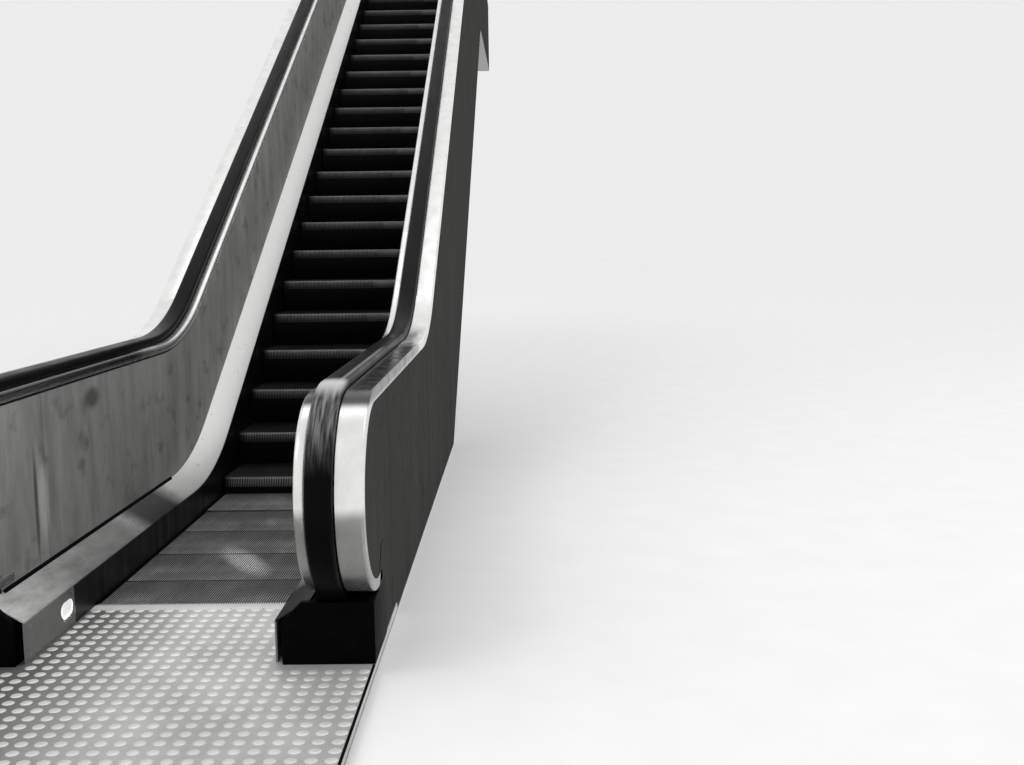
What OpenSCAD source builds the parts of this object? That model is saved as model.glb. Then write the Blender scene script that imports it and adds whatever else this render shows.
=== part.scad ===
// Escalator with metal-clad balustrades, from the ground up, both landings complete.
// Millimetres. X runs across the machine, Y up the run, Z up.
// The origin is on the ground, midway between the sides, under the lower comb line.

/* [Run] */
// Width of a step
step_w = 800; // [600:10:1000]
// Depth of a step and its spacing along the run
step_pitch = 400; // [385:1:415]
// Slope of the run, degrees
slope = 30; // [27:0.5:33]
// Risers between the lower and the upper working point
risers = 24; // [14:1:28]
// Radius of the step line at both bends
bend_r = 1500; // [1300:10:1800]
// Level distance from each comb line to its working point
flat_l = 1770; // [1600:10:2200]
// Distance from the lower comb line to the first step joint
first_joint = 307; // [200:1:360]

/* [Steps] */
// Thickness of a tread
tread_t = 28; // [24:1:30]
// Thickness of a riser
riser_t = 10; // [6:1:14]
// Height of a tread's cleats over its grooves
cleat_h = 10; // [8:1:12]
// Width of a cleat at its foot
cleat_w = 6; // [4:0.5:7]
// Running gap between one step and the next
step_gap = 3; // [2:0.5:5]
// Thickness of a step's three cast webs
web_t = 12; // [8:1:20]
// Radius of a step roller
roller_r = 35; // [30:1:38]
// Width of a step roller
roller_w = 22; // [18:1:30]

/* [Landings] */
// Height of the walking surface over the ground
floor_h = 40; // [38:1:60]
// Length of a landing's floor, out from the comb line
landing_l = 2000; // [1600:10:2600]
// Thickness of the floor plates
plate_t = 20; // [14:1:24]
// Depth of the comb plate
comb_plate_l = 250; // [200:5:320]
// Depth of the combs
comb_l = 60; // [50:1:80]
// Teeth along a comb, each in a groove of the treads
comb_teeth = 43; // [29:1:49]
// Length of a comb tooth over the step
tooth_l = 26; // [16:1:40]
// Running gap between a tooth and the cleats beside it
tooth_gap = 3; // [1.5:0.5:3.5]

/* [Balustrade] */
// Running gap between a step and the skirt
skirt_gap = 4; // [3:0.5:6]
// Thickness of the skirt panels
skirt_t = 6; // [4:1:10]
// Height of the skirt over the step line
skirt_h = 140; // [120:5:180]
// Height of the inner deck's upper edge over the step line
deck_h = 205; // [200:5:260]
// Thickness of the deck and cladding sheets
sheet_t = 4; // [3:0.5:6]
// Distance from the step to the face of the interior panels
panel_u = 120; // [105:1:130]
// Thickness of the interior panels
panel_t = 6; // [4:1:10]
// Width of the trim beside the handrail
trim_w = 40; // [30:1:50]
// Width of the outer deck
outer_w = 90; // [75:1:110]
// Spacing of the panel joints along the run
bay_l = 1200; // [900:10:1500]
// Distance of the first panel joint from the comb line, towards the newel
joint_out = 100; // [0:10:200]
// Gap at a panel joint
bay_gap = 4; // [2:1:6]

/* [Handrail] */
// Width of the handrail
rail_w = 85; // [78:1:90]
// Thickness of the handrail over its guide
rail_t = 12; // [10:1:16]
// Depth of the handrail with its lips
rail_d = 32; // [28:1:40]
// Height of the handrail over a landing
rail_h = 900; // [880:10:980]
// Height of the handrail over the step line, measured straight up
rail_vh = 950; // [900:10:1020]
// Radius of the handrail's lower bend
rail_r1 = 1300; // [1000:10:1600]
// Radius of the handrail's upper bend
rail_r2 = 2300; // [1800:10:2600]
// Radius of the handrail round a newel
newel_r = 360; // [300:1:380]
// Distance of a newel's centre from the comb line
newel_out = 490; // [440:5:560]

/* [Truss] */
// Depth of the truss under the step line
truss_d = 950; // [800:10:1100]
// Size of the truss chords
chord = 80; // [60:5:100]
// Size of the truss posts and cross beams
post = 60; // [40:5:80]
// Thickness of the bottom plate
bottom_t = 6; // [4:1:10]

/* [Hidden] */

$fn = 96;
// Angle between the points of a faceted bend
bend_step = 1.5;
// Clearance of pieces that seat on each other without touching
seat = 0.3;
// Open joint between lengths of deck, trim and guide, and the lengths on the incline
joint = 0.8;
deck_lengths = 3;

// Path of the steps
rise = risers * step_pitch * sin(slope);
going = risers * step_pitch * cos(slope);
bend_t = bend_r * tan(slope / 2);
bend_s = bend_r * slope * PI / 180;
y_lo = flat_l;
y_hi = flat_l + going;
y_end = y_hi + flat_l;
s_a = flat_l - bend_t;
s_b = s_a + bend_s;
s_c = s_b + risers * step_pitch - 2 * bend_t;
s_d = s_c + bend_s;
s_end = s_d + flat_l - bend_t;
z_lo = floor_h;
z_hi = floor_h + rise;

// Sections across the machine, as distances out from the edge of the steps
half_w = step_w / 2;
trim_proud = 5;
trim_u = panel_u - trim_proud;
rail_u = trim_u + trim_w;
outer_u = rail_u + rail_w;
side_u = outer_u + outer_w;
clad_u = side_u - sheet_t;

// Depths under the crown of the handrail
outer_deck_d = 30;
trim_d0 = 38;
trim_d1 = 74;
panel_d = 84;

// Newels
newel_z = rail_h - newel_r;

// Rollers and tracks, seen from the nose of a step
roller_y = 96;
roller_z = -175;
track_h = 40;
track_w = 40;

function reverse(p) = [for (i = [len(p) - 1:-1:0]) p[i]];

// Points of an arc about c, from angle a0 to a1
function arc(c, r, a0, a1, n) = [for (i = [0:n]) let (a = a0 + (a1 - a0) * i / n)
    [c[0] + r * cos(a), c[1] + r * sin(a)]];

// Number of chords in a bend
bend_n = ceil(slope / bend_step);

// A line parallel to the step line, v over it, from y0 to y1
function run_line(v, y0, y1) = concat([[y0, z_lo + v]],
    arc([s_a, z_lo + bend_r], bend_r - v, -90, slope - 90, bend_n),
    arc([y_end - s_a, z_hi - bend_r], bend_r + v, 90 + slope, 90, bend_n),
    [[y1, z_hi + v]]);

// Working points of the handrail, and the tangent lengths of its bends
rail_shift = (rail_h - rail_vh) / tan(slope);
rail_y1 = y_lo + rail_shift;
rail_y2 = y_hi + rail_shift;
rail_t1 = rail_r1 * tan(slope / 2);
rail_t2 = rail_r2 * tan(slope / 2);

// A line parallel to the crown of the handrail, d under it, between the newels
function rail_line(d) = concat([[-newel_out, z_lo + rail_h - d]],
    arc([rail_y1 - rail_t1, z_lo + rail_h + rail_r1], rail_r1 + d, -90, slope - 90, bend_n),
    arc([rail_y2 + rail_t2, z_hi + rail_h - rail_r2], rail_r2 - d, 90 + slope, 90, bend_n),
    [[y_end + newel_out, z_hi + rail_h - d]]);

// The same line with the half rounds of both newels
function newel_line(d) = concat(
    arc([-newel_out, z_lo + newel_z], newel_r - d, 270, 90, 24),
    rail_line(d),
    arc([y_end + newel_out, z_hi + newel_z], newel_r - d, 90, -90, 24));

// Place on the step line at the distance s along it
function at(s) = s <= s_a ? [s, 0]
    : s <= s_b ? [s_a + bend_r * sin((s - s_a) / bend_r * 180 / PI),
        bend_r * (1 - cos((s - s_a) / bend_r * 180 / PI))]
    : s <= s_c ? [s_a + bend_r * sin(slope) + (s - s_b) * cos(slope),
        bend_r * (1 - cos(slope)) + (s - s_b) * sin(slope)]
    : s <= s_d ? [y_end - s_a - bend_r * sin((s_d - s) / bend_r * 180 / PI),
        rise - bend_r * (1 - cos((s_d - s) / bend_r * 180 / PI))]
    : [y_end - s_a + s - s_d, rise];

// Height of the step line over the point y
function line_z(y) = z_lo + max(0, min(rise, (y - y_lo) * tan(slope)));

// Extrudes a side view drawn in Y and Z across the machine, from x0 to x1
module across(x0, x1) translate([x0, 0, 0]) rotate([90, 0, 90]) linear_extrude(x1 - x0) children();

// Both sides of the machine
module both_sides() {
    children();
    mirror([1, 0, 0]) children();
}

// A band between two heights over the step line
module run_band(v0, v1, y0, y1)
    polygon(concat(run_line(v0, y0, y1), reverse(run_line(v1, y0, y1))));

// The half plane over the height z
module over(z) translate([-landing_l * 2, z]) square([y_end + landing_l * 4, z_hi + rail_h * 3]);

// Maps a section onto a revolve about a centre above it, or below it
module from_above(r) translate([r, 0]) rotate(90) children();
module from_below(r) translate([r, 0]) mirror([1, -1]) children();

// Revolves a section about an axis along X at c, from angle a0 through a
module revolve(c, a0, a) translate([half_w, c[0], c[1]]) rotate([90, 0, 90]) rotate([0, 0, a0])
    rotate_extrude(angle = a) children();

// Extrudes a section from p along the run for the length l, tilted by a
module straight(p, l, a) translate([half_w, p[0], p[1]]) rotate([a, 0, 0]) translate([0, l, 0])
    rotate([90, 0, 0]) linear_extrude(l) children();

// Puts a section into the frame of a landing: its level part runs out from the comb line, at x = half_w
module at_foot() translate([0, 0, z_lo]) children();
module at_head() translate([0, y_end, z_hi]) children();

// Sweeps a section along the step line on the right side: level and bend at the foot of the run,
// level and bend at its head, and n lengths with joints between them
module run_foot(y0) at_foot() {
    straight([y0, 0], s_a - y0, 0) children();
    revolve([s_a, bend_r], -90, slope) from_above(bend_r) children();
}
module run_head(y1) at_head() {
    straight([-s_a, 0], y1 + s_a, 0) children();
    revolve([-s_a, -bend_r], 90, slope) from_below(bend_r) children();
}
module run_incline(n, over_l = -joint / 2) {
    p = [s_a + bend_r * sin(slope), z_lo + bend_r * (1 - cos(slope))];
    lengths(p, s_c - s_b, n, over_l) children();
}

// n lengths of a section up the incline from p, each longer by over_l at both ends
module lengths(p, l, n, over_l) for (i = [0:n - 1])
    straight(p + (i * l / n - over_l) * [cos(slope), sin(slope)], l / n + 2 * over_l, slope) children();

// Sweeps a section along the crown of the handrail in the same way, with the half rounds of the newels
// and a tail of the length l under each
rail_l = (rail_y2 - rail_y1) / cos(slope) - rail_t1 - rail_t2;
module rail_foot(l) at_foot() {
    revolve([-newel_out, newel_z], 90, 180) from_below(newel_r) children();
    if (l > 0) straight([-newel_out, newel_z - newel_r], l, 0) mirror([0, 1]) children();
    straight([-newel_out, rail_h], rail_y1 - rail_t1 + newel_out, 0) children();
    revolve([rail_y1 - rail_t1, rail_h + rail_r1], -90, slope) from_above(rail_r1) children();
}
module rail_head(l) at_head() {
    y0 = rail_y2 + rail_t2 - y_end;
    revolve([newel_out, newel_z], -90, 180) from_below(newel_r) children();
    if (l > 0) straight([newel_out - l, newel_z - newel_r], l, 0) mirror([0, 1]) children();
    straight([y0, rail_h], newel_out - y0, 0) children();
    revolve([y0, rail_h - rail_r2], 90, slope) from_below(rail_r2) children();
}
module rail_incline(n, over_l = -joint / 2) {
    p = [rail_y1 + rail_t1 * cos(slope), z_lo + rail_h + rail_t1 * sin(slope)];
    lengths(p, rail_l, n, over_l) children();
}

// Side view of a boot: a low box ahead of the newel, sloping up behind over the handrail's inlet
boot_u = 30;
boot_l = 160;
boot_h = 205;
boot_top = 330;
boot_slope = 90;
boot_wall = 4;
// Clearance of the inlet round the handrail
inlet_c = 4;
// The box reaches out past the place where the handrail comes down through its top
boot_out = boot_wall + sqrt(max(pow(100, 2), pow(newel_r + inlet_c, 2) - pow(newel_z - boot_h, 2)));
module boot_view(grow) {
    polygon([[-newel_out - boot_out - grow, 0], [-newel_out - boot_out - grow, boot_h + grow],
        [-newel_out - grow, boot_h + grow], [-newel_out + boot_slope - grow, boot_top + grow],
        [-newel_out + boot_l + grow, boot_top + grow], [-newel_out + boot_l + grow, 0]]);
}

// Both boots in side view, standing on the two floors
module boots_view(grow) {
    translate([0, z_lo]) boot_view(grow);
    translate([y_end, z_hi]) mirror([1, 0]) boot_view(grow);
}

// Stations of the posts, joints and cross beams
bays = round((y_end + 2 * joint_out) / bay_l);
bay_y = (y_end + 2 * joint_out) / bays;
stations = [for (i = [0:bays]) -joint_out + i * bay_y];
module strips(w, ys) for (y = ys) translate([y - w / 2, 0]) square([w, z_hi + rail_h * 2]);

// The truss: chords, posts and diagonals between two heights over the step line
truss_top = -plate_t;
track_v = -roller_r - seat;
module truss_band(v0, v1) intersection() {
    run_band(v0, v1, -landing_l, y_end + landing_l);
    over(bottom_t);
}
module bar(p, q, w) {
    l = norm(q - p);
    translate(p) rotate(atan2(q[1] - p[1], q[0] - p[0])) translate([0, -w / 2]) square([l, w]);
}
posts = concat(stations, [y_end + newel_out, y_end + landing_l - post]);
module truss() across(half_w + clad_u - sheet_t - chord, half_w + clad_u - sheet_t) {
    truss_band(truss_top - chord, truss_top);
    truss_band(-truss_d, -truss_d + chord);
    intersection() {
        truss_band(-truss_d, truss_top);
        union() {
            strips(post, posts);
            for (i = [0:len(posts) - 2])
                bar([posts[i], line_z(posts[i]) - truss_d / cos(slope) + chord],
                    [posts[i + 1], line_z(posts[i + 1]) - chord], post * 0.7);
        }
    }
}
module truss_right() color("dimgray") truss();
module truss_left() color("dimgray") mirror([1, 0, 0]) truss();

// Bottom plate and soffit
plate_x = half_w + clad_u;
module bottom_plate_lower() color("gray") translate([-plate_x, -landing_l, 0])
    cube([2 * plate_x, landing_l + soffit_y, bottom_t]);
soffit_y = y_lo + (truss_d / cos(slope) + bottom_t * 2 - z_lo) / tan(slope);
module soffit(y0, y1) across(-plate_x, plate_x) intersection() {
    run_band(-truss_d - bottom_t, -truss_d - seat, -landing_l, y_end + landing_l);
    over(bottom_t + seat);
    translate([y0, 0]) square([y1 - y0, z_hi * 2]);
}
soffit_split = y_end - s_a - (bend_r - truss_d) * sin(slope);
module soffit_incline() color("gray") soffit(0, soffit_split);
module soffit_upper() color("gray") soffit(soffit_split, y_end + landing_l);

// Cross beams under the tracks and on the lower chords
beam_x = half_w + clad_u - sheet_t - chord;
module track_band(v0, v1) intersection() {
    translate([roller_y, roller_z]) run_band(v0, v1, 0, y_end + newel_out);
    over(bottom_t + seat);
}
beam_ys = [for (y = stations) if (y > y_lo + bay_y / 2 && y < y_end) y];
module cross_beams() color("dimgray") across(-beam_x, beam_x) {
    intersection() {
        track_band(track_v - track_h - post, track_v - track_h);
        strips(post, beam_ys);
    }
    intersection() {
        truss_band(-truss_d, -truss_d + post);
        strips(post, [for (y = beam_ys) if (y > soffit_y) y]);
    }
}
module step_tracks() color("silver") both_sides()
    across(half_w - track_w - web_t, half_w - web_t - 1)
        difference() {
            track_band(track_v - track_h, track_v);
            translate([y_end - seat, 0]) square([landing_l, z_hi * 2]);
        }

// End plate and bearing angle of the upper end
bearing_w = 120;
bearing_t = 16;
module end_plates() color("dimgray") {
    translate([-plate_x, y_end + landing_l, z_hi - truss_d - bottom_t])
        cube([2 * plate_x, bearing_t, truss_d + bottom_t - plate_t]);
    translate([-plate_x, y_end + landing_l + bearing_t, z_hi - plate_t - bearing_t])
        cube([2 * plate_x, bearing_w, bearing_t]);
}

// Landings
rib_w = 40;
module ribs(y0, y1, z0, z1, n) for (i = [0:n])
    translate([-beam_x, y0 + (y1 - y0 - rib_w) * i / n, z0]) cube([2 * beam_x, rib_w, z1 - z0]);
module floor_frame_lower() color("dimgray")
    ribs(-landing_l, 0, bottom_t, z_lo - plate_t, 6);
module floor_frame_upper() color("dimgray")
    ribs(y_end, y_end + landing_l, z_hi - plate_t - chord, z_hi - plate_t, 6);

slot_x = half_w + skirt_gap - 1;
module floor_plate() difference() {
    translate([-half_w - side_u, -landing_l, -plate_t]) cube([2 * (half_w + side_u), landing_l, plate_t]);
    translate([-half_w - skirt_gap, -comb_plate_l, -2 * plate_t])
        cube([2 * (half_w + skirt_gap), comb_plate_l + 1, 3 * plate_t]);
}
module comb_plate() translate([-slot_x, -comb_plate_l + 1, -plate_t])
    cube([2 * slot_x, comb_plate_l - comb_l - 1 - seat, plate_t]);

// Combs: segments side by side, with a ridge for each tooth
comb_segments = 3;
comb_rise = 3;
ridge_h = 1.5;
cleats = comb_teeth + 1;
cleat_pitch = step_w / cleats;
groove_w = cleat_pitch - cleat_w;
tooth_w = groove_w - 2 * tooth_gap;
// Depth of a tooth's underside and of its tip in the groove
tooth_d = cleat_h * 0.6;
tip_d = cleat_h * 0.3;
// Middle of the groove i, and the joint after the segment j, over the middle of a cleat
function groove_x(i) = -half_w + i * cleat_pitch;
function segment_x(j) = j == 0 ? -slot_x
    : j == comb_segments ? slot_x
    : groove_x(floor(cleats * j / comb_segments) + 0.5);
module comb_body_view() polygon([[-comb_l, -plate_t], [-comb_l, 0], [-comb_l / 2, comb_rise - ridge_h],
    [-seat, comb_rise - ridge_h], [-seat, -plate_t]]);
module tooth_view() polygon([[-comb_l * 0.8, 0], [-comb_l / 2, comb_rise], [tooth_l * 0.4, comb_rise],
    [tooth_l, -tip_d], [tooth_l, -tooth_d], [-comb_l * 0.8, -tooth_d]]);
module comb() for (j = [1:comb_segments]) {
    x0 = segment_x(j - 1) + seat;
    x1 = segment_x(j) - seat;
    across(x0, x1) comb_body_view();
    for (i = [1:comb_teeth]) if (groove_x(i) > x0 && groove_x(i) < x1)
        across(groove_x(i) - tooth_w / 2, groove_x(i) + tooth_w / 2) tooth_view();
}
// Places a piece of the lower landing, or turned round at the upper one
module lower() translate([0, 0, z_lo]) children();
module upper() translate([0, y_end, z_hi]) rotate([0, 0, 180]) children();
module floor_plate_lower() color("silver") lower() floor_plate();
module floor_plate_upper() color("silver") upper() floor_plate();
module comb_plate_lower() color("silver") lower() comb_plate();
module comb_plate_upper() color("silver") upper() comb_plate();
module comb_lower() color("gainsboro") lower() comb();
module comb_upper() color("gainsboro") upper() comb();

// Steps
riser_a = slope + 2;
riser_n = 8;
last_step = ceil((s_end - 2 * seat - first_joint) / step_pitch) - 1;
function step_at(k) = at(first_joint + k * step_pitch);
// Side view of a step's tread, riser and webs, its nose at the origin
module tread_view() translate([riser_t, -tread_t]) square([step_pitch - step_gap - riser_t, tread_t]);
module riser_view() polygon(concat(
    arc([step_pitch, 0], step_pitch, 180, 180 + riser_a, riser_n),
    arc([step_pitch, 0], step_pitch - riser_t, 180 + riser_a, 180, riser_n)));
// The webs run into the riser's middle, and stay under the grooves
web_r = step_pitch - riser_t / 2;
web_top = (cleat_h + tread_t) / 2;
module web_view() polygon(concat([[step_pitch - step_gap, -web_top], [step_pitch - step_gap, -tread_t]],
    arc([step_pitch, 0], web_r, 179 + riser_a, 180 + asin(web_top / web_r), riser_n)));
// What of a side view is over the ground and between the combs
module step_room() intersection() {
    over(bottom_t + seat);
    translate([seat, 0]) square([y_end - 2 * seat, z_hi * 2]);
}
// The grooves between the cleats, wider at the top by the draft of the casting, with half a groove at each edge
cleat_draft = 0.5;
module grooves_profile() {
    w = groove_w / 2;
    w_top = w + cleat_draft * (cleat_h + 1) / cleat_h;
    polygon(concat([for (i = [0:cleats]) each [[groove_x(i) - w_top, 1], [groove_x(i) - w, -cleat_h],
        [groove_x(i) + w, -cleat_h], [groove_x(i) + w_top, 1]]],
        [[half_w + groove_w, 2], [-half_w - groove_w, 2]]));
}
module step(k) let (p = step_at(k)) {
    difference() {
        across(-half_w, half_w) intersection() {
            step_room();
            translate([p[0], p[1] + z_lo]) union() { tread_view(); riser_view(); }
        }
        translate([0, p[0] + step_pitch, p[1] + z_lo]) rotate([90, 0, 0])
            linear_extrude(step_pitch + 1) grooves_profile();
    }
    for (x = [-half_w + web_t / 2, 0, half_w - web_t / 2]) across(x - web_t / 2, x + web_t / 2)
        intersection() {
            step_room();
            translate([p[0], p[1] + z_lo]) web_view();
        }
    if (p[1] + z_lo + roller_z - roller_r > bottom_t)
        both_sides() translate([half_w - web_t, p[0] + roller_y, p[1] + z_lo + roller_z])
            rotate([0, -90, 0]) cylinder(r = roller_r, h = roller_w);
}
module steps(k0, k1) color("dimgray") for (k = [k0:min(k1, last_step)]) step(k);
flight_a = ceil((s_a - first_joint) / step_pitch);
flight_n = ceil((s_d - s_a) / step_pitch / 3);
module steps_lower_landing() steps(-1, flight_a - 1);
module step_flight_1() steps(flight_a, flight_a + flight_n - 1);
module step_flight_2() steps(flight_a + flight_n, flight_a + 2 * flight_n - 1);
module step_flight_3() steps(flight_a + 2 * flight_n, flight_a + 3 * flight_n - 1);
module steps_upper_landing() steps(flight_a + 3 * flight_n, last_step);

// Skirts
skirt_end_y = newel_out + 120;
skirt_low = 260;
deck_v = sheet_t * 1.25;
skirt_end_in = 190;
// What stands on the floors at the landings and on the ground or the truss between them
module standing(z) difference() {
    over(bottom_t + seat);
    translate([-landing_l, 0]) square([landing_l, z_lo + z]);
    translate([y_end, 0]) square([landing_l * 2, z_hi + z]);
}
module skirt_view(y0, y1) intersection() {
    run_band(-skirt_low, skirt_h - deck_v, -skirt_end_y, y_end + skirt_end_y);
    standing(seat);
    translate([y0, 0]) square([y1 - y0, z_hi * 2]);
}
module skirt() across(half_w + skirt_gap, half_w + skirt_gap + skirt_t)
    skirt_view(-skirt_end_in, y_end + skirt_end_in);
module skirt_right() color("#151515") skirt();
module skirt_left() color("#151515") mirror([1, 0, 0]) skirt();
light_y = 260;
light_z = 68;
light_l = 110;
light_h = 65;
// An oval outline in side view, at both ends
module light_view(grow) for (p = [[-light_y, z_lo + light_z], [y_end + light_y, z_hi + light_z]])
    translate(p) {
        square([light_l - light_h, light_h + 2 * grow], center = true);
        for (s = [-1, 1]) translate([s * (light_l - light_h) / 2, 0]) circle(r = light_h / 2 + grow);
    }
module skirt_ends() color("darkgray") both_sides() across(half_w + skirt_gap, half_w + skirt_gap + skirt_t)
    difference() {
        union() {
            skirt_view(-skirt_end_y, -skirt_end_in - 1);
            skirt_view(y_end + skirt_end_in + 1, y_end + skirt_end_y);
        }
        light_view(seat);
    }
module skirt_lights() color("white") both_sides()
    across(half_w + skirt_gap, half_w + skirt_gap + skirt_t) light_view(0);

// Inner decks
module deck_section()
    polygon([[skirt_gap, skirt_h], [panel_u, deck_h], [panel_u, deck_h - deck_v], [skirt_gap, skirt_h - deck_v]]);
module inner_deck() {
    run_foot(-skirt_end_y) deck_section();
    run_incline(deck_lengths) deck_section();
    run_head(skirt_end_y) deck_section();
}
module inner_deck_right() color("gainsboro") inner_deck();
module inner_deck_left() color("gainsboro") mirror([1, 0, 0]) inner_deck();

// Interior panels, in bays, with a half round at each newel
module panels() across(half_w + panel_u, half_w + panel_u + panel_t) difference() {
    polygon(concat(newel_line(panel_d),
        reverse(run_line(deck_h - deck_v, -newel_out, y_end + newel_out))));
    strips(bay_gap, stations);
    boots_view(seat);
}
module panels_right() color("gray") panels();
module panels_left() color("gray") mirror([1, 0, 0]) panels();

// Balustrade frames: a post with two arms at each station
frame_w = 40;
frame_u = outer_u + sheet_t + 1;
arm_d = 110;
arm_h = 30;
// The lower arms pass over the handrail's return run
arm_v = newel_z - newel_r + rail_d + 20;
frame_ys = concat([-newel_out + boot_l + frame_w], stations, [y_end + newel_out - boot_l - frame_w]);
module frame_band(line_lo, line_hi) intersection() {
    polygon(concat(line_lo, reverse(line_hi)));
    strips(frame_w, frame_ys);
    standing(0);
}
module frames() {
    across(half_w + frame_u, half_w + clad_u - sheet_t)
        frame_band(run_line(truss_top, -newel_out, y_end + newel_out), rail_line(outer_deck_d + sheet_t));
    across(half_w + panel_u + panel_t, half_w + frame_u)
        frame_band(rail_line(arm_d + arm_h), rail_line(arm_d));
    across(half_w + panel_u + panel_t, half_w + frame_u)
        frame_band(run_line(arm_v, -newel_out, y_end + newel_out),
            run_line(arm_v + arm_h, -newel_out, y_end + newel_out));
    across(half_w + skirt_gap + skirt_t, half_w + clad_u - sheet_t - chord)
        frame_band(run_line(truss_top - chord, -newel_out, y_end + newel_out),
            run_line(truss_top - chord + arm_h, -newel_out, y_end + newel_out));
}
module frames_right() color("dimgray") frames();
module frames_left() color("dimgray") mirror([1, 0, 0]) frames();

// Handrail guide: a flange in the handrail on a web
web_u0 = rail_u + rail_w / 2 - 12;
web_u1 = rail_u + rail_w / 2 + 12;
lip_w = 14;
flange_t = 12;
flange_v = 4;
module guide_section() {
    translate([rail_u + lip_w, -rail_t - seat - flange_t]) square([rail_w - 2 * lip_w, flange_t]);
    translate([web_u0, -arm_d]) square([web_u1 - web_u0, arm_d - rail_t - seat - 1]);
}
module guide() {
    rail_foot(boot_l / 2) guide_section();
    rail_incline(deck_lengths) guide_section();
    rail_head(boot_l / 2) guide_section();
}
module guide_right() color("dimgray") guide();
module guide_left() color("dimgray") mirror([1, 0, 0]) guide();

// Trim beside the handrail, with a round inner edge and a flange to the guide
trim_r = 12;
module trim_section() {
    polygon(concat([[trim_u, -trim_d1]], arc([trim_u + trim_r, -trim_d0 - trim_r], trim_r, 180, 90, 4),
        [[rail_u, -trim_d0], [rail_u, -trim_d1]]));
    translate([rail_u - 1, -trim_d1]) square([web_u0 - rail_u + 1, flange_v]);
}
// Cuts the tails off where they meet the boots
module off_boots() difference() {
    children();
    across(half_w, half_w + side_u + 1) boots_view(seat);
}
module trim() {
    off_boots() rail_foot(boot_l / 2) trim_section();
    rail_incline(deck_lengths) trim_section();
    off_boots() rail_head(boot_l / 2) trim_section();
}
module trim_right() color("gainsboro") trim();
module trim_left() color("gainsboro") mirror([1, 0, 0]) trim();

// Handrail: one closed belt with a crowned back, and lips that reach under the guide's flange
edge_r = 14;
crown_h = 1.5;
mouth_c = 6;
rail_clear = 0.6;
// The straight lengths are this much thinner, all round, where they are spliced into the bends
splice = 0.02;
// One half of the belt's back, from its lip to its crown
function rail_back(e) = concat([[rail_u + e, e - rail_d]],
    arc([rail_u + edge_r, -edge_r - crown_h], edge_r - e, 180, 95, 4));
module handrail_section(e = 0) {
    mid = rail_u + rail_w / 2;
    gap = rail_clear + e;
    difference() {
        polygon(concat(rail_back(e), [[mid, -e]], [for (p = reverse(rail_back(e))) [2 * mid - p[0], p[1]]]));
        translate([rail_u + lip_w - gap, -rail_t - seat - flange_t - gap])
            square([rail_w + 2 * (gap - lip_w), flange_t + seat + gap + e]);
        translate([web_u0 - mouth_c - e, -rail_d - 1])
            square([web_u1 - web_u0 + 2 * (mouth_c + e), rail_d + 1 - rail_t - seat - flange_t]);
    }
}
module return_section(e = 0) translate([0, newel_z - newel_r]) mirror([0, 1]) handrail_section(e);
module handrail() {
    rail_foot(0) handrail_section();
    rail_head(0) handrail_section();
    rail_incline(1, 1) handrail_section(splice);
    run_foot(-newel_out) return_section();
    run_head(newel_out) return_section();
    run_incline(1, 1) return_section(splice);
}
module handrail_right() color("#101010") handrail();
module handrail_left() color("#101010") mirror([1, 0, 0]) handrail();

// Outer deck: cover sheet with a round outer edge, a lip down each side and a flange to the guide
lip_d = 70;
deck_r = 9;
deck_in = outer_u + 1;
module outer_deck_section() {
    c = [side_u - deck_r, -outer_deck_d - deck_r];
    polygon(concat([[web_u1, -trim_d1], [web_u1, flange_v - trim_d1], [deck_in, flange_v - trim_d1],
        [deck_in, -outer_deck_d]],
        arc(c, deck_r, 90, 0, 4), [[side_u, -lip_d], [side_u - sheet_t, -lip_d]],
        arc(c, deck_r - sheet_t, 0, 90, 4),
        [[deck_in + sheet_t, -outer_deck_d - sheet_t], [deck_in + sheet_t, -trim_d1]]));
}
module outer_deck() {
    off_boots() rail_foot(boot_l / 2) outer_deck_section();
    rail_incline(deck_lengths) outer_deck_section();
    off_boots() rail_head(boot_l / 2) outer_deck_section();
}
module outer_deck_right() color("whitesmoke") outer_deck();
module outer_deck_left() color("whitesmoke") mirror([1, 0, 0]) outer_deck();

// Cladding of the outer sides, in bays, down to the ground or the soffit
module cladding() across(half_w + clad_u - sheet_t, half_w + clad_u) difference() {
    union() {
        intersection() {
            polygon(concat(newel_line(outer_deck_d + sheet_t),
                reverse(run_line(-truss_d, -newel_out, y_end + newel_out))));
            standing(seat);
        }
        intersection() {
            run_band(-truss_d, truss_top - seat, y_end - 1, y_end + landing_l);
            translate([y_end - 1, 0]) square([landing_l + 1, z_hi * 2]);
        }
    }
    strips(bay_gap, stations);
    boots_view(seat);
}
module cladding_right() color("darkgray") cladding();
module cladding_left() color("darkgray") mirror([1, 0, 0]) cladding();

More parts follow.
